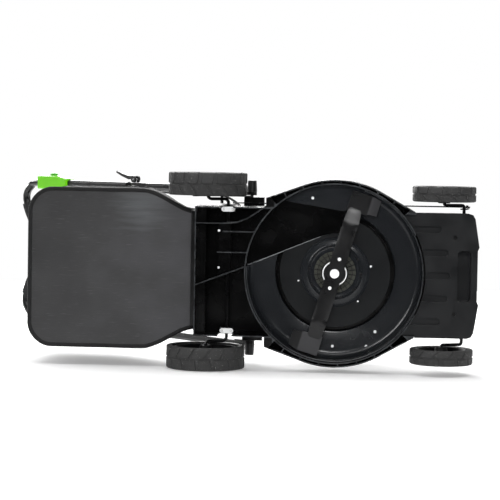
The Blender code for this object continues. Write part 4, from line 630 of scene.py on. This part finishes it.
def add_slab(shape, outline, low, high):
    """Adds an upright prism over an outline of places, whose own heights don't count."""
    bottom = [shape.verts.new((p[0], p[1], low)) for p in outline]
    top = [shape.verts.new((p[0], p[1], high)) for p in outline]
    shape.faces.new(bottom)
    shape.faces.new(top[::-1])
    bridge_rows(shape, [bottom, top], True)


def along_path(path, n):
    """Direction of a path at one of its points."""
    return (path[min(n + 1, len(path) - 1)] - path[max(n - 1, 0)]).normalized()


def inward_of(path, n):
    """Direction to the left of a path in plan, which for the bag is towards its inside."""
    along = along_path(path, n)
    return Vector((-along.y, along.x))


def tube_between(name, shape, rows, angle):
    """The mesh of closed rows of vertices, with a face at each end."""
    bridge_rows(shape, rows, True)
    shape.faces.new(rows[0])
    shape.faces.new(rows[-1])
    return mesh_of(name, shape, angle)


def cord_mesh(name, points, radius):
    """A round cord along points."""
    shape = bmesh.new()
    rows = []
    turns = [TURN * k / CORD_SIDES for k in range(CORD_SIDES)]
    normal = None
    for n, point in enumerate(points):
        along = along_path(points, n)
        if normal is None:
            normal = along.orthogonal().normalized()
        else:
            normal = normal - along * normal.dot(along)
        normal.normalize()
        side = along.cross(normal)
        ring = [point + (normal * math.cos(a) + side * math.sin(a)) * radius for a in turns]
        rows.append([shape.verts.new(p) for p in ring])
    return tube_between(name, shape, rows, 60)


def band_mesh(name, path, section):
    """A closed section of (distance inward, height) points run along an open path in plan."""
    shape = bmesh.new()
    rows = []
    for n, point in enumerate(path):
        inward = inward_of(path, n)
        rows.append([shape.verts.new((*(point + inward * away), height)) for away, height in section])
    return tube_between(name, shape, rows, 50)


def soften(piece, width, steps=2, angle=32):
    """Rounds the hard edges of a piece."""
    edges = piece.modifiers.new("edges", "BEVEL")
    edges.width = width
    edges.segments = steps
    edges.limit_method = "ANGLE"
    edges.angle_limit = math.radians(angle)
    edges.use_clamp_overlap = True
    edges.harden_normals = True
    piece.data.set_sharp_from_angle(angle=math.radians(40))


# Chamber
def ridge_angle(radius):
    """Direction from the blade's axis in which the tunnel's edge is one radius away."""
    start, end = RIDGE
    step = end - start
    a = step.dot(step)
    b = 2 * start.dot(step)
    c = start.dot(start) - radius**2
    place = start + step * ((-b - math.sqrt(max(b * b - 4 * a * c, 0))) / (2 * a))
    return math.atan2(place.y, place.x) % TURN


def liner_section(low):
    """Closed section of the liner: inner lip, ceiling, round corner, outer skirt and back."""
    inner = DISH_RADIUS + 0.0055
    face = LINER_OUTER - LINER_SHEET
    x = face - LINER_CORNER
    z = low - LINER_CORNER
    lip = [(inner, low + 0.010), (inner, low + 0.004), (inner + 0.0012, low + 0.0012), (inner + 0.004, low)]
    turns = [math.radians(90 - 15 * n) for n in range(7)]
    corner = [(x + LINER_CORNER * math.cos(a), z + LINER_CORNER * math.sin(a)) for a in turns]
    foot = [(face, LINER_FOOT + 0.0006), (face + 0.0006, LINER_FOOT), (LINER_OUTER - 0.0006, LINER_FOOT)]
    back = [(LINER_OUTER, LINER_FOOT + 0.0006), (LINER_OUTER, low + LINER_SHEET)]
    return lip + corner + foot + back + [(inner + 0.0025, low + 0.010)]


def make_liner():
    """The spiral ceiling of the chamber, and the flat strip beside the tunnel."""
    shape = bmesh.new()
    rows = []
    for n in range(LINER_STEPS + 1):
        t = n / LINER_STEPS
        row = []
        for radius, z in liner_section(LINER_LOW + (LINER_HIGH - LINER_LOW) * t):
            start = ridge_angle(min(radius, LINER_OUTER))
            row.append(shape.verts.new(polar(radius, start + (LINER_END - start) * t, z)))
        rows.append(row)
    mesh = tube_between("chamber_liner", shape, rows, 35)
    piece_from(mesh, "liner_plastic", "deck", "liner_plastic", "volute_liner")
    dish = bmesh.new()
    start, end = RIDGE
    first = ridge_angle(DISH_EDGE)
    last = math.atan2(end.y, end.x)
    turn = LINER_END + math.radians(6)
    ring = [polar(DISH_EDGE, first + (turn - first) * n / 72, 0) for n in range(73)]
    ring += [polar(TUNNEL_THROAT, turn + (last - turn) * n / 8, 0) for n in range(9)]
    add_slab(dish, ring, LINER_LOW - 0.0006, LINER_LOW + 0.0002)
    piece_from(mesh_of("dish_face", dish), "dish_plastic", "deck", "liner_plastic")
    # The tunnel's edge: a thin cord whose pale finish is a painted highlight along the ridge
    lip = [at_hub(*(start + (end - start) * n / 12), LINER_LOW + 0.0004) for n in range(13)]
    piece_from(cord_mesh("tunnel_lip", lip, 0.0011), "painted_lip_highlight", "deck", "liner_plastic")
    strip = bmesh.new()
    tongue = LINER_END + math.radians(3)
    outline = [polar(LINER_OUTER - 0.0036, STRIP_START, 0), at_hub(*STRIP_TIP, 0)]
    outline.append(polar(LINER_OUTER - 0.012, tongue, 0))
    for n in range(25):
        outline.append(polar(LINER_OUTER, tongue + (STRIP_START - TURN - tongue) * n / 24, 0))
    add_slab(strip, outline, LINER_LOW, LINER_LOW + LINER_SHEET)
    piece = piece_from(mesh_of("side_strip", strip), "liner_plastic", "deck", "liner_plastic")
    soften(piece, 0.8 * MM)


def make_screws():
    """Washer head screws that hold the liner, the guard and the apron, each with a dark driver recess."""
    places = (
        (-0.0563, -0.1763, LINER_LOW, 0.0036),
        (-0.1509, -0.1568, 0.0445, 0.0036),
        (0.0984, 0.1423, 0.1285, 0.0036),
        (0.0780, 0.1778, 0.1278, 0.0036),
        (-0.0030, 0.1790, 0.1262, 0.0036),
        (0.0854, -0.0152, 0.1180, 0.0028),
        (-0.0872, 0.0224, 0.1180, 0.0022),
        (0.0560, 0.0691, 0.1180, 0.0022),
        (-0.2791, -0.0947, 0.1055, 0.0030),
        (-0.2789, -0.0059, 0.1055, 0.0030),
    )
    for n, (x, y, z, radius) in enumerate(places):
        head = [
            (0, z - 0.0008),
            (radius * 0.30, z - 0.0008),
            (radius * 0.34, z - 0.0019),
            (radius * 0.70, z - 0.0018),
            (radius, z - 0.0009),
            (radius * 1.05, z + 0.0010),
        ]
        mesh = turned_mesh(f"deck_screw_{n}", head, 16, at_hub(x, y, 0), 50)
        piece_from(mesh, "zinc", "deck", "zinc")


def make_clamp_recesses():
    """Dark cups of painted shade in the driver recesses of the screws that hold the axle clamps."""
    for node in ("rear_clamp_left", "rear_clamp_right", "front_clamp_left", "front_clamp_right"):
        low, high = node_size(node)
        floor = low.z + 0.0002
        recess = [(0, floor), (0.0013, floor), (0.0020, low.z - 0.0002), (0.0024, low.z + 0.0004)]
        for n, step in enumerate((-CLAMP_PITCH, CLAMP_PITCH)):
            place = ((low.x + high.x) / 2 + step, (low.y + high.y) / 2, 0)
            mesh = turned_mesh(f"{node}_recess_{n}", recess, 12, place)
            piece_from(mesh, "hole_shadow", "deck", "zinc")


# Blade and motor foot
def blade_frame(side):
    """Turns places along and across the blade into places of the machine."""
    angle = BLADE_ANGLE + (0 if side > 0 else math.pi)
    return Matrix.Translation((HUB_X, 0, 0)) @ Matrix.Rotation(angle, 4, "Z")


def bar_point(u, across):
    """A place on the near face of the bar, whose crown grows away from the flat at the hub."""
    end = BLADE_BAR + BLADE_RUN
    width = BLADE_HALF * (1 - 0.12 * smoothstep(u, BLADE_BAR, end))
    u = min(u, end - 0.010 * abs(across) ** 3)
    crown = BLADE_CROWN * smoothstep(u, 0.040, 0.085) * abs(across) ** 2.4
    crown *= 1 - 0.85 * smoothstep(u, BLADE_BAR - 0.008, BLADE_BAR + 0.006)
    sink = BLADE_RISE * smoothstep(u, BLADE_BAR - 0.004, end + 0.004)
    sink += 0.0015 * smoothstep(u, end - 0.006, end)
    return Vector((u, across * width, BLADE_Z + crown + sink))


def make_blade():
    """The stamped blade: a crowned bar that slopes up to two broad tips with bent wings. The face of one tip
    and the wing of the other are painted a lighter grey: a painted highlight where they catch the light."""
    end = BLADE_BAR + BLADE_RUN
    stations = [n * 0.003 for n in range(int(end / 0.003) + 1)] + [end]
    across = [n / 8 - 1 for n in range(17)]
    half = {}
    for side in (1, -1):
        turn = blade_frame(side)
        half[side] = [[turn @ bar_point(u, v) for v in across] for u in stations]
    grid = [row[::-1] for row in half[-1][:0:-1]] + half[1]
    mesh = plate_mesh("blade_bar", grid, BLADE_SHEET, 40)
    bar = piece_from(mesh, "blade_steel", "rotor", "blade_steel", "blade")
    soften(bar, 0.7 * MM)
    tip_end = math.sqrt(BLADE_REACH**2 - TIP_TRAIL**2)
    columns = [-TIP_LEAD, -0.008, 0.006, 0.020, 0.027, 0.030, 0.033, 0.037, 0.045, TIP_TRAIL + WING_SPAN]
    for n, side in enumerate((1, -1)):
        turn = blade_frame(side)
        grid = []
        for share in (0, 0.25, 0.5, 0.75, 1):
            row = []
            for v in columns:
                root = TIP_ROOT + 0.004 * smoothstep(v, 0.028, 0.034)
                end = min(tip_end, math.sqrt(BLADE_REACH**2 - v * v) - 0.0006)
                lift = WING_RISE * max(0.0, v - 0.030) / (TIP_TRAIL + WING_SPAN - 0.030)
                bend = 0.0012 * (1 - smoothstep(abs(v - 0.031), 0.0, 0.006))
                z = BLADE_Z + BLADE_RISE + lift + bend
                row.append(turn @ Vector((root + (end - root) * share, v, z)))
            grid.append(row)
        mesh = plate_mesh(f"blade_tip_{n}", grid, BLADE_SHEET, 30)
        tip = piece_from(mesh, "blade_steel", "rotor", "blade_steel")
        # The face of one tip and the wing of the other take the lighter coat: a painted highlight
        mesh.materials.append(FINISHES["blade_painted_highlight"])
        back = turn.inverted()
        for face in mesh.polygons:
            on_wing = (back @ face.center).y > WING_ROOT
            face.material_index = int(on_wing == (side > 0))
        soften(tip, 0.6 * MM)


def spun(outline, angle):
    """An outline measured from the blade's axis, turned about that axis."""
    turn = Matrix.Rotation(angle, 4, "Z")
    places = [turn @ Vector((x, y, 0)) for x, y in outline]
    return [(HUB_X + p.x, p.y) for p in places]


def bar_outline(near, far, half):
    """A bar that points away from the blade's axis."""
    return ((near, -half), (far, -half), (far, half), (near, half))


def make_hub():
    """The blade's carrier with its bright chamfer, its two drive pins and the ears that hold them."""
    carrier = [
        (0.0065, 0.0542),
        (0.0265, 0.0542),
        (0.0285, 0.0560),
        (0.0290, 0.0600),
        (0.0225, 0.0640),
        (0.0200, 0.0700),
        (0.0195, 0.1000),
        (0.0160, 0.1070),
        (0.0065, 0.1070),
    ]
    mesh = turned_mesh("blade_carrier", carrier, 64, at_hub(0, 0, 0), 30)
    piece_from(mesh, "black_plastic", "rotor", "black_plastic", "blade_adapter")
    chamfer = [(0.0262, 0.0541), (0.0287, 0.0556), (0.0291, 0.0563), (0.0291, 0.0580)]
    mesh = turned_mesh("carrier_ring", chamfer, 64, at_hub(0, 0, 0), 30)
    piece_from(mesh, "zinc", "rotor", "zinc")
    pin = [(0, 0.0476), (0.0030, 0.0476), (0.0042, 0.0484), (0.0042, 0.0570)]
    ear_half = ((0.018, 0.012), (0.034, 0.011), (0.0425, 0.006))
    corners = [(x, -y) for x, y in ear_half] + [*ear_half[::-1]]
    for n in (0, 1):
        angle = PIN_ANGLE + math.pi * n
        mesh = turned_mesh(f"drive_pin_{n}", pin, 20, polar(PIN_CIRCLE, angle, 0), 40)
        piece_from(mesh, "zinc", "rotor", "zinc")
        ear = bmesh.new()
        add_slab(ear, spun(corners, angle), 0.0572, 0.0622)
        piece = piece_from(mesh_of(f"carrier_ear_{n}", ear), "black_plastic", "rotor", "black_plastic")
        soften(piece, 0.8 * MM)


def make_motor_foot():
    """The motor's round foot: an outer lip, a ring of long slots, and ribs in front of the cast end bell."""
    top = FOOT_TOP
    section = [
        (0.0500, top - 0.0005),
        (0.0500, top - 0.0046),
        (0.0512, top - 0.0056),
        (0.0588, top - 0.0072),
        (0.0600, top - 0.0064),
        (0.0604, top - 0.0012),
        (0.0640, top - 0.0012),
        (0.0644, top - 0.0050),
        (0.0656, top - 0.0058),
        (0.0690, top - 0.0040),
        (0.0780, top - 0.0034),
        (0.0800, top - 0.0050),
        (0.0818, top - 0.0050),
        (0.0830, top - 0.0038),
        (0.0830, top - 0.0003),
    ]
    mesh = turned_mesh("motor_foot", section, 96, at_hub(0, 0, 0), 35)
    piece_from(mesh, "liner_plastic", "deck", "black_plastic", "motor_base")
    ribs = bmesh.new()
    for ring_low, ring_high in ((0.0300, 0.0325), (0.0408, 0.0424)):
        for n in range(48):
            ends = (TURN * n / 48, TURN * (n + 1) / 48)
            corners = [polar(ring_low, a, 0) for a in ends]
            corners += [polar(ring_high, a, 0) for a in ends[::-1]]
            add_slab(ribs, corners, top - 0.0070, top - 0.0010)
    spoke = bar_outline(0.031, 0.0505, 0.0011)
    for n in range(24):
        add_slab(ribs, spun(spoke, TURN * (n + 0.5) / 24), top - 0.0066, top - 0.0010)
    bridge = bar_outline(0.0598, 0.0648, 0.0045)
    for n in range(10):
        add_slab(ribs, spun(bridge, TURN * (n + 0.15) / 10), top - 0.0050, top - 0.0010)
    piece_from(mesh_of("motor_foot_ribs", ribs), "black_plastic", "deck", "black_plastic")
    bell = [(0.0210, top - 0.0030), (0.0300, top - 0.0030), (0.0330, top - 0.0018), (0.0500, top - 0.0018)]
    mesh = turned_mesh("motor_end_bell", bell, 64, at_hub(0, 0, 0), 30)
    piece_from(mesh, "cast_bell", "deck", "black_plastic")


# Apron
def make_apron():
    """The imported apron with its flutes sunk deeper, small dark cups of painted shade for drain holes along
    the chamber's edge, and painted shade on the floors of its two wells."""
    piece = refined("front_apron", 0.9 * MM, 3)
    for vertex in piece.data.vertices:
        if abs(vertex.co.z - FLUTE_FLOOR) < 0.0003:
            vertex.co.z += FLUTE_DEPTH
    holes = (
        (0.1819, -0.1256),
        (0.1991, -0.0919),
        (0.2180, -0.0298),
        (0.2180, 0.0291),
        (0.2081, 0.0588),
        (0.1982, 0.0909),
        (0.1803, 0.1315),
    )
    cup = [(0, 0.0479), (0.0011, 0.0479), (0.0016, 0.04785), (0.0019, 0.0483)]
    for n, hole in enumerate(holes):
        away = Vector(hole).normalized() * max(APRON_EDGE, math.hypot(*hole))
        mesh = turned_mesh(f"drain_hole_{n}", cup, 12, at_hub(away.x, away.y, 0))
        piece_from(mesh, "hole_shadow", "deck", "apron_plastic")
    x, y = APRON_WELL
    cup = [(0, WELL_FLOOR - 0.0002), (0.0036, WELL_FLOOR - 0.0002), (0.0046, WELL_FLOOR + 0.0006)]
    for name, side in (("left", 1), ("right", -1)):
        mesh = turned_mesh(f"apron_well_{name}", cup, 16, at_hub(x, side * y, 0))
        piece_from(mesh, "hole_shadow", "deck", "apron_plastic")


# Grass bag
def bag_path(inset, front=BAG_FRONT):
    """Plan of the bag from its left front end round the rear to the right front end."""
    half = BAG_HALF - inset
    neck = BAG_NECK - inset
    side = [
        (front, neck),
        (front - 0.012, neck + 0.001),
        (front - 0.035, neck + 0.010),
        (front - 0.080, half - 0.014),
        (front - 0.105, half - 0.004),
        (front - 0.130, half),
        (-0.560, half),
        (BAG_REAR + inset + BAG_CORNER + 0.040, half),
    ]
    side = [(p.x, p.y) for p in smooth_path([Vector((*p, 0)) for p in side], 4)]
    centre = (BAG_REAR + inset + BAG_CORNER, half - BAG_CORNER)
    corner = []
    for n in range(13):
        a = math.pi / 2 * (1 + n / 12)
        corner.append((centre[0] + BAG_CORNER * math.cos(a), centre[1] + BAG_CORNER * math.sin(a)))
    left = []
    for x, y in side + corner:
        behind = smoothstep(BAG_REAR + 0.12 - x, 0.0, 0.12)
        left.append(Vector((HUB_X + x + BAG_BULGE * behind * (y / BAG_HALF) ** 2, y)))
    return left + [Vector((p.x, -p.y)) for p in left[::-1]]


def reach_at(points, x):
    """How far a line of points that runs to the rear reaches out, or up, at a place along the machine."""
    for a, b in zip(points, points[1:]):
        if b.x <= x <= a.x:
            return a.y + (b.y - a.y) * (a.x - x) / max(a.x - b.x, 1e-9)
    return points[0].y if x > points[0].x else points[-1].y


def make_bag_panel():
    """The coated bottom panel, a little uneven between its stitched edges."""
    path = bag_path(BAG_BINDING * 0.5)
    half = path[:len(path) // 2]
    grid = []
    for n, point in enumerate(half):
        row = []
        for k in range(33):
            y = point.y * (1 - k / 16)
            edge = min(point.y - abs(y), point.x - half[-1].x + 0.004, 0.05) / 0.05
            wave = noise.noise(Vector((point.x * 9, y * 9, 3.1))) * 0.0014
            row.append(Vector((point.x, y, BAG_FLOOR + 0.0016 + (wave + 0.0008) * max(edge, 0))))
        grid.append(row)
    mesh = plate_mesh("bag_bottom", grid, 0.003, 40)
    piece_from(mesh, "bag_panel", "grass_bag", "bag_panel", "bag_base")


def make_bag_binding():
    """Woven tape folded round the panel's edge, with a piping cord outside it at the neck."""
    low = BAG_FLOOR
    section = [
        (0.0022, low),
        (BAG_BINDING - 0.0015, low + 0.0002),
        (BAG_BINDING, low + 0.0016),
        (BAG_BINDING, low + 0.0050),
        (0.0030, low + 0.0064),
        (0.0004, low + 0.0050),
        (0.0000, low + 0.0030),
        (0.0006, low + 0.0010),
    ]
    mesh = band_mesh("bag_binding", bag_path(0.0, BAG_FRONT + NECK_TAB), section)
    piece_from(mesh, "webbing", "grass_bag", "bag_panel")
    path = bag_path(0.0002)
    for name, points in (("left", path[:20]), ("right", path[-20:])):
        cord = [Vector((p.x, p.y, low + 0.0100)) for p in points]
        mesh = cord_mesh(f"bag_piping_{name}", cord, 0.0013)
        piece_from(mesh, "piping", "grass_bag", "cloth")


def make_bag_cloth():
    """The mesh cloth walls, slack between the panel and the lid, with folds that start at the corners."""
    path = bag_path(0.0022)
    rows = 22
    grid = []
    for k in range(rows + 1):
        t = k / rows
        row = []
        for n, point in enumerate(path):
            top = reach_at(LID_CURVE, point.x - HUB_X) - 0.0005
            low = BAG_FLOOR + BAG_PANEL + 0.0004
            z = low + (top - low) * t
            tall = min((top - low) / 0.2, 1.0)
            slack = math.sin(math.pi * t) ** 0.8 * tall
            broad = noise.noise(Vector((point.x * 7, point.y * 7, z * 6)))
            folds = noise.noise(Vector((point.x * 16 + z * 9, point.y * 16, z * 4 + 5)))
            away = max(slack * (0.0045 + 0.0055 * broad + 0.0030 * folds), -0.0020)
            row.append(Vector((*(point + inward_of(path, n) * away), z)))
        grid.append(row)
    shape = bmesh.new()
    made = [[shape.verts.new(p) for p in row] for row in grid]
    bridge_rows(shape, made, False)
    mesh = mesh_of("bag_cloth", shape)
    mesh.shade_smooth()
    cloth = piece_from(mesh, "cloth", "grass_bag", "cloth", "bag_fabric")
    thick = cloth.modifiers.new("thickness", "SOLIDIFY")
    thick.thickness = 0.0012
    thick.offset = 0.0
    left, right = ([row[int(share * len(path))] for row in grid] for share in SEAM_SHARES)
    for name, points in (("low", grid[1]), ("corner_left", left), ("corner_right", right)):
        mesh = cord_mesh(f"bag_seam_{name}", points, 0.0016)
        piece_from(mesh, "webbing", "grass_bag", "cloth")


def make_bag_lid():
    """The moulded lid: ribs along its length, a turned down rim, and the strap handle."""
    path = bag_path(0.0008)
    half = path[:len(path) // 2]
    ribs = (-0.11, -0.055, 0.0, 0.055, 0.11)
    grid = []
    for x, z in LID_CURVE:
        width = reach_at(half, x + HUB_X)
        row = []
        for k in range(61):
            share = k / 30 - 1
            y = -share * width
            rib = max(1 - smoothstep(abs(y - at), 0.0035, 0.0065) for at in ribs)
            inside = smoothstep(BAG_FRONT - x, 0.03, 0.06) * smoothstep(x - BAG_REAR, 0.045, 0.075)
            inside *= smoothstep(width - abs(y), 0.02, 0.03)
            roll = 0.0065 * (1 - smoothstep(width - abs(y), 0.0, 0.012)) ** 2
            row.append(Vector((x + HUB_X, y, z + 0.0026 - roll - 0.0022 * rib * inside)))
        grid.append(row)
    mesh = plate_mesh("bag_cover", grid, 0.0016, 40)
    piece_from(mesh, "black_plastic", "grass_bag", "black_plastic", "bag_lid")
    grip = bmesh.new()
    near, far = ([grip.verts.new((HUB_X + x, y, z)) for x, z in lid_grip()] for y in (-0.012, 0.012))
    mesh = tube_between("bag_strap_handle", grip, [near, far], None)
    piece = piece_from(mesh, "black_plastic", "grass_bag", "black_plastic")
    soften(piece, 2.2 * MM, 3, 20)


def lid_grip():
    """Side view of the strap handle: a flat bridge with both feet on the lid."""
    crest_x, crest_z = BAG_CREST
    middle = crest_x - 0.010
    outer = [(0.054, -0.008), (0.044, 0.018), (0.036, 0.031), (0.026, 0.036)]
    inner = [(0.042, -0.006), (0.034, 0.014), (0.028, 0.0235), (0.022, 0.028)]
    ring = outer + [(-x, z) for x, z in outer[::-1]] + [(-x, z) for x, z in inner] + inner[::-1]
    return [(middle + x, crest_z + z) for x, z in ring]


def shorten_switch(piece):
    """Draws the rear end of the switch box in, so that the bend of the handle shows behind it."""
    joint = joint_place("handle_fold")
    along = Vector((-math.cos(HANDLE_SLOPE), 0, math.sin(HANDLE_SLOPE)))
    for vertex in piece.data.vertices:
        reach = (vertex.co - joint).dot(along)
        if reach > SWITCH_WAIST:
            vertex.co -= along * (reach - SWITCH_WAIST) * SWITCH_DRAW


def make_camera():
    """The camera of the photograph, below the standing mower and looking up at it."""
    data = bpy.data.cameras.new("camera")
    data.lens = CAMERA_LENS
    data.sensor_width = 36.0
    camera = put("camera", data)
    ahead = (CAMERA_AIM - CAMERA_PLACE).normalized()
    right = (Vector((1, 0, 0)) - ahead * ahead.x).normalized()
    up = right.cross(ahead)
    turned = Matrix((right, up, -ahead)).transposed().to_4x4() @ Matrix.Rotation(CAMERA_ROLL, 4, "Z")
    camera.matrix_world = Matrix.Translation(CAMERA_PLACE) @ turned
    bpy.context.scene.camera = camera


def make_world():
    """White for the camera, plain soft light on the object, and in reflections a studio that is dark on the
    camera's side."""
    world = bpy.data.worlds.new("studio")
    bpy.context.scene.world = world
    world.use_nodes = True
    tree = world.node_tree
    background = tree.nodes["Background"]
    ray = add(tree, "LightPath").node.outputs
    upward = add(tree, "SeparateXYZ", (add(tree, "TexCoord", output="Generated"),), output="Z")
    mirrored = add(tree, "MapRange", (upward, -0.35, 0.25, DARK_SIDE, 0.6))
    soft = add(tree, "MapRange", (upward, -0.5, 0.5, WORLD_LIGHT * 0.3, WORLD_LIGHT * 3.0))
    bounced = (ray["Is Glossy Ray"], ray["Is Transmission Ray"])
    glass_or_gloss = add(tree, "Math", bounced, operation="MAXIMUM")
    lit = add(tree, "Mix", {"Factor": glass_or_gloss, "A": soft, "B": mirrored})
    shown = add(tree, "Mix", {"Factor": ray["Is Camera Ray"], "A": lit, "B": 1.0})
    background.inputs["Color"].default_value = (1, 1, 1, 1)
    tree.links.new(shown, background.inputs["Strength"])


def softbox(name, place, aim, width, height, power):
    """A rectangular light of a size in metres and a power in watts, turned towards a place."""
    data = bpy.data.lights.new(name, "AREA")
    data.shape = "RECTANGLE"
    data.size = width
    data.size_y = height
    data.energy = power
    lamp = put(name, data)
    lamp.location = place
    lamp.rotation_euler = (Vector(aim) - Vector(place)).to_track_quat("-Z", "Y").to_euler()
    return lamp


def floor_material(glow, upright):
    """White paper that shows the mower's shadow on its front and nothing on its back, and stays white far
    away. Towards the camera it isn't mirrored in the glossy plastic, where the studio is dark."""
    made = bpy.data.materials.new("white_paper_floor")
    made.use_nodes = True
    tree = made.node_tree
    tree.nodes.clear()
    paper = add(tree, "BsdfDiffuse", {"Color": linear(FLOOR_WHITE)})
    surface = add(tree, "NewGeometry").node.outputs
    height = add(tree, "SeparateXYZ", {"Vector": surface["Position"]}, output="Z")
    if upright:
        strength = add(tree, "MapRange", (height, 0.9, 2.4, glow, glow + FAR_GLOW))
    else:
        away = add(tree, "VectorMath", (surface["Position"],), output="Value", operation="LENGTH")
        strength = add(tree, "MapRange", (away, 1.5, 4.5, glow, 1.0))
    light = add(tree, "Emission", {"Color": (1, 1, 1, 1), "Strength": strength})
    both = add(tree, "AddShader", (paper, light))
    clear = add(tree, "BsdfTransparent")
    ahead = add(tree, "MapRange", (height, -0.9, 0.1, 1.0, 0.0))
    glossy = add(tree, "LightPath", output="Is Glossy Ray")
    unseen = add(tree, "Math", (ahead, glossy), operation="MULTIPLY")
    hidden = add(tree, "Math", (surface["Backfacing"], unseen), operation="MAXIMUM")
    mixed = add(tree, "MixShader", (hidden, both, clear))
    end = tree.nodes.new("ShaderNodeOutputMaterial")
    tree.links.new(mixed, end.inputs["Surface"])
    return made


def stage_plane(name, place, normal, glow):
    mesh = bpy.data.meshes.new(name)
    shape = bmesh.new()
    turn = Vector(UP).rotation_difference(Vector(normal)).to_matrix().to_4x4()
    bmesh.ops.create_grid(shape, x_segments=1, y_segments=1, size=STAGE_SIZE / 2, matrix=turn)
    shape.to_mesh(mesh)
    shape.free()
    plane = put(name, mesh)
    plane.location = place
    mesh.materials.append(floor_material(glow, normal[2] == 0))
    return plane


def make_stage():
    """The mower lies against one floor, and stands on the other in the views from above."""
    low, high = CAD_BOX
    behind = SIDE_FLOOR_END - STAGE_SIZE / 2
    stage_plane("side_floor", (0, high[1] + SIDE_FLOOR_GAP, behind), (0, -1, 0), FLOOR_GLOW)
    ground = stage_plane("ground", (0, 0, low[2] - SIDE_FLOOR_GAP), UP, GROUND_GLOW)
    ground.visible_diffuse = False
    ground.visible_glossy = False
    ground.visible_shadow = False
    ground.visible_transmission = False
    softbox("overhead", (0.0, -3.2, 0.3), (0.0, 0.0, 0.1), 4.0, 2.0, 110)
    camera_fill = softbox("camera_fill", (0.2, -0.6, -4.6), (0.1, 0.0, 0.1), 0.8, 0.8, 150)
    camera_fill.visible_glossy = False
    gleams = (
        softbox("left_gleam", (-1.8, -1.9, -1.7), (0.2, 0.0, 0.1), 2.0, 0.5, 42),
        softbox("front_gleam", (0.4, -3.1, -1.5), (0.1, 0.0, 0.1), 2.6, 0.9, 34),
        softbox("slope_gleam", (0.75, -1.55, -2.9), (0.28, 0.0, 0.1), 0.8, 0.5, 26),
    )
    for lamp in gleams:
        lamp.visible_diffuse = False
    softbox("roof_light", (-0.7, -1.0, 2.6), (-0.1, 0.1, 0.2), 2.4, 1.6, 110)


FINISHES = make_finishes()
SLOT_OF = {part["node"]: part["material_slot"] for part in frame["record"]["subparts"]}

make_camera()
make_world()
make_stage()
LID_CURVE = smooth_path([Vector((x, z)) for x, z in BAG_LID], 6)
shaped = {"volute_liner", "blade", "blade_adapter", "motor_base", "front_apron"}
shaped |= {"bag_base", "bag_fabric", "bag_lid"}
for place in ("rear", "front"):
    for name, side in (("left", 1), ("right", -1)):
        wheel = f"{place}_{name}"
        make_tyre(wheel, side)
        make_rivets(wheel, side)
        shaped.add(wheel + "_tyre")
make_liner()
make_screws()
make_clamp_recesses()
make_blade()
make_hub()
make_motor_foot()
make_apron()
make_bag_panel()
make_bag_binding()
make_bag_cloth()
make_bag_lid()
EDGES = {"deck_shell": 1.1 * MM, "axle_guard": 0.8 * MM}
for node in frame["nodes"]:
    if node not in shaped:
        piece = refined(node, EDGES.get(node, 0.5 * MM))
        if node == "switch_box":
            shorten_switch(piece)

bpy.context.scene.view_settings.view_transform = "Standard"
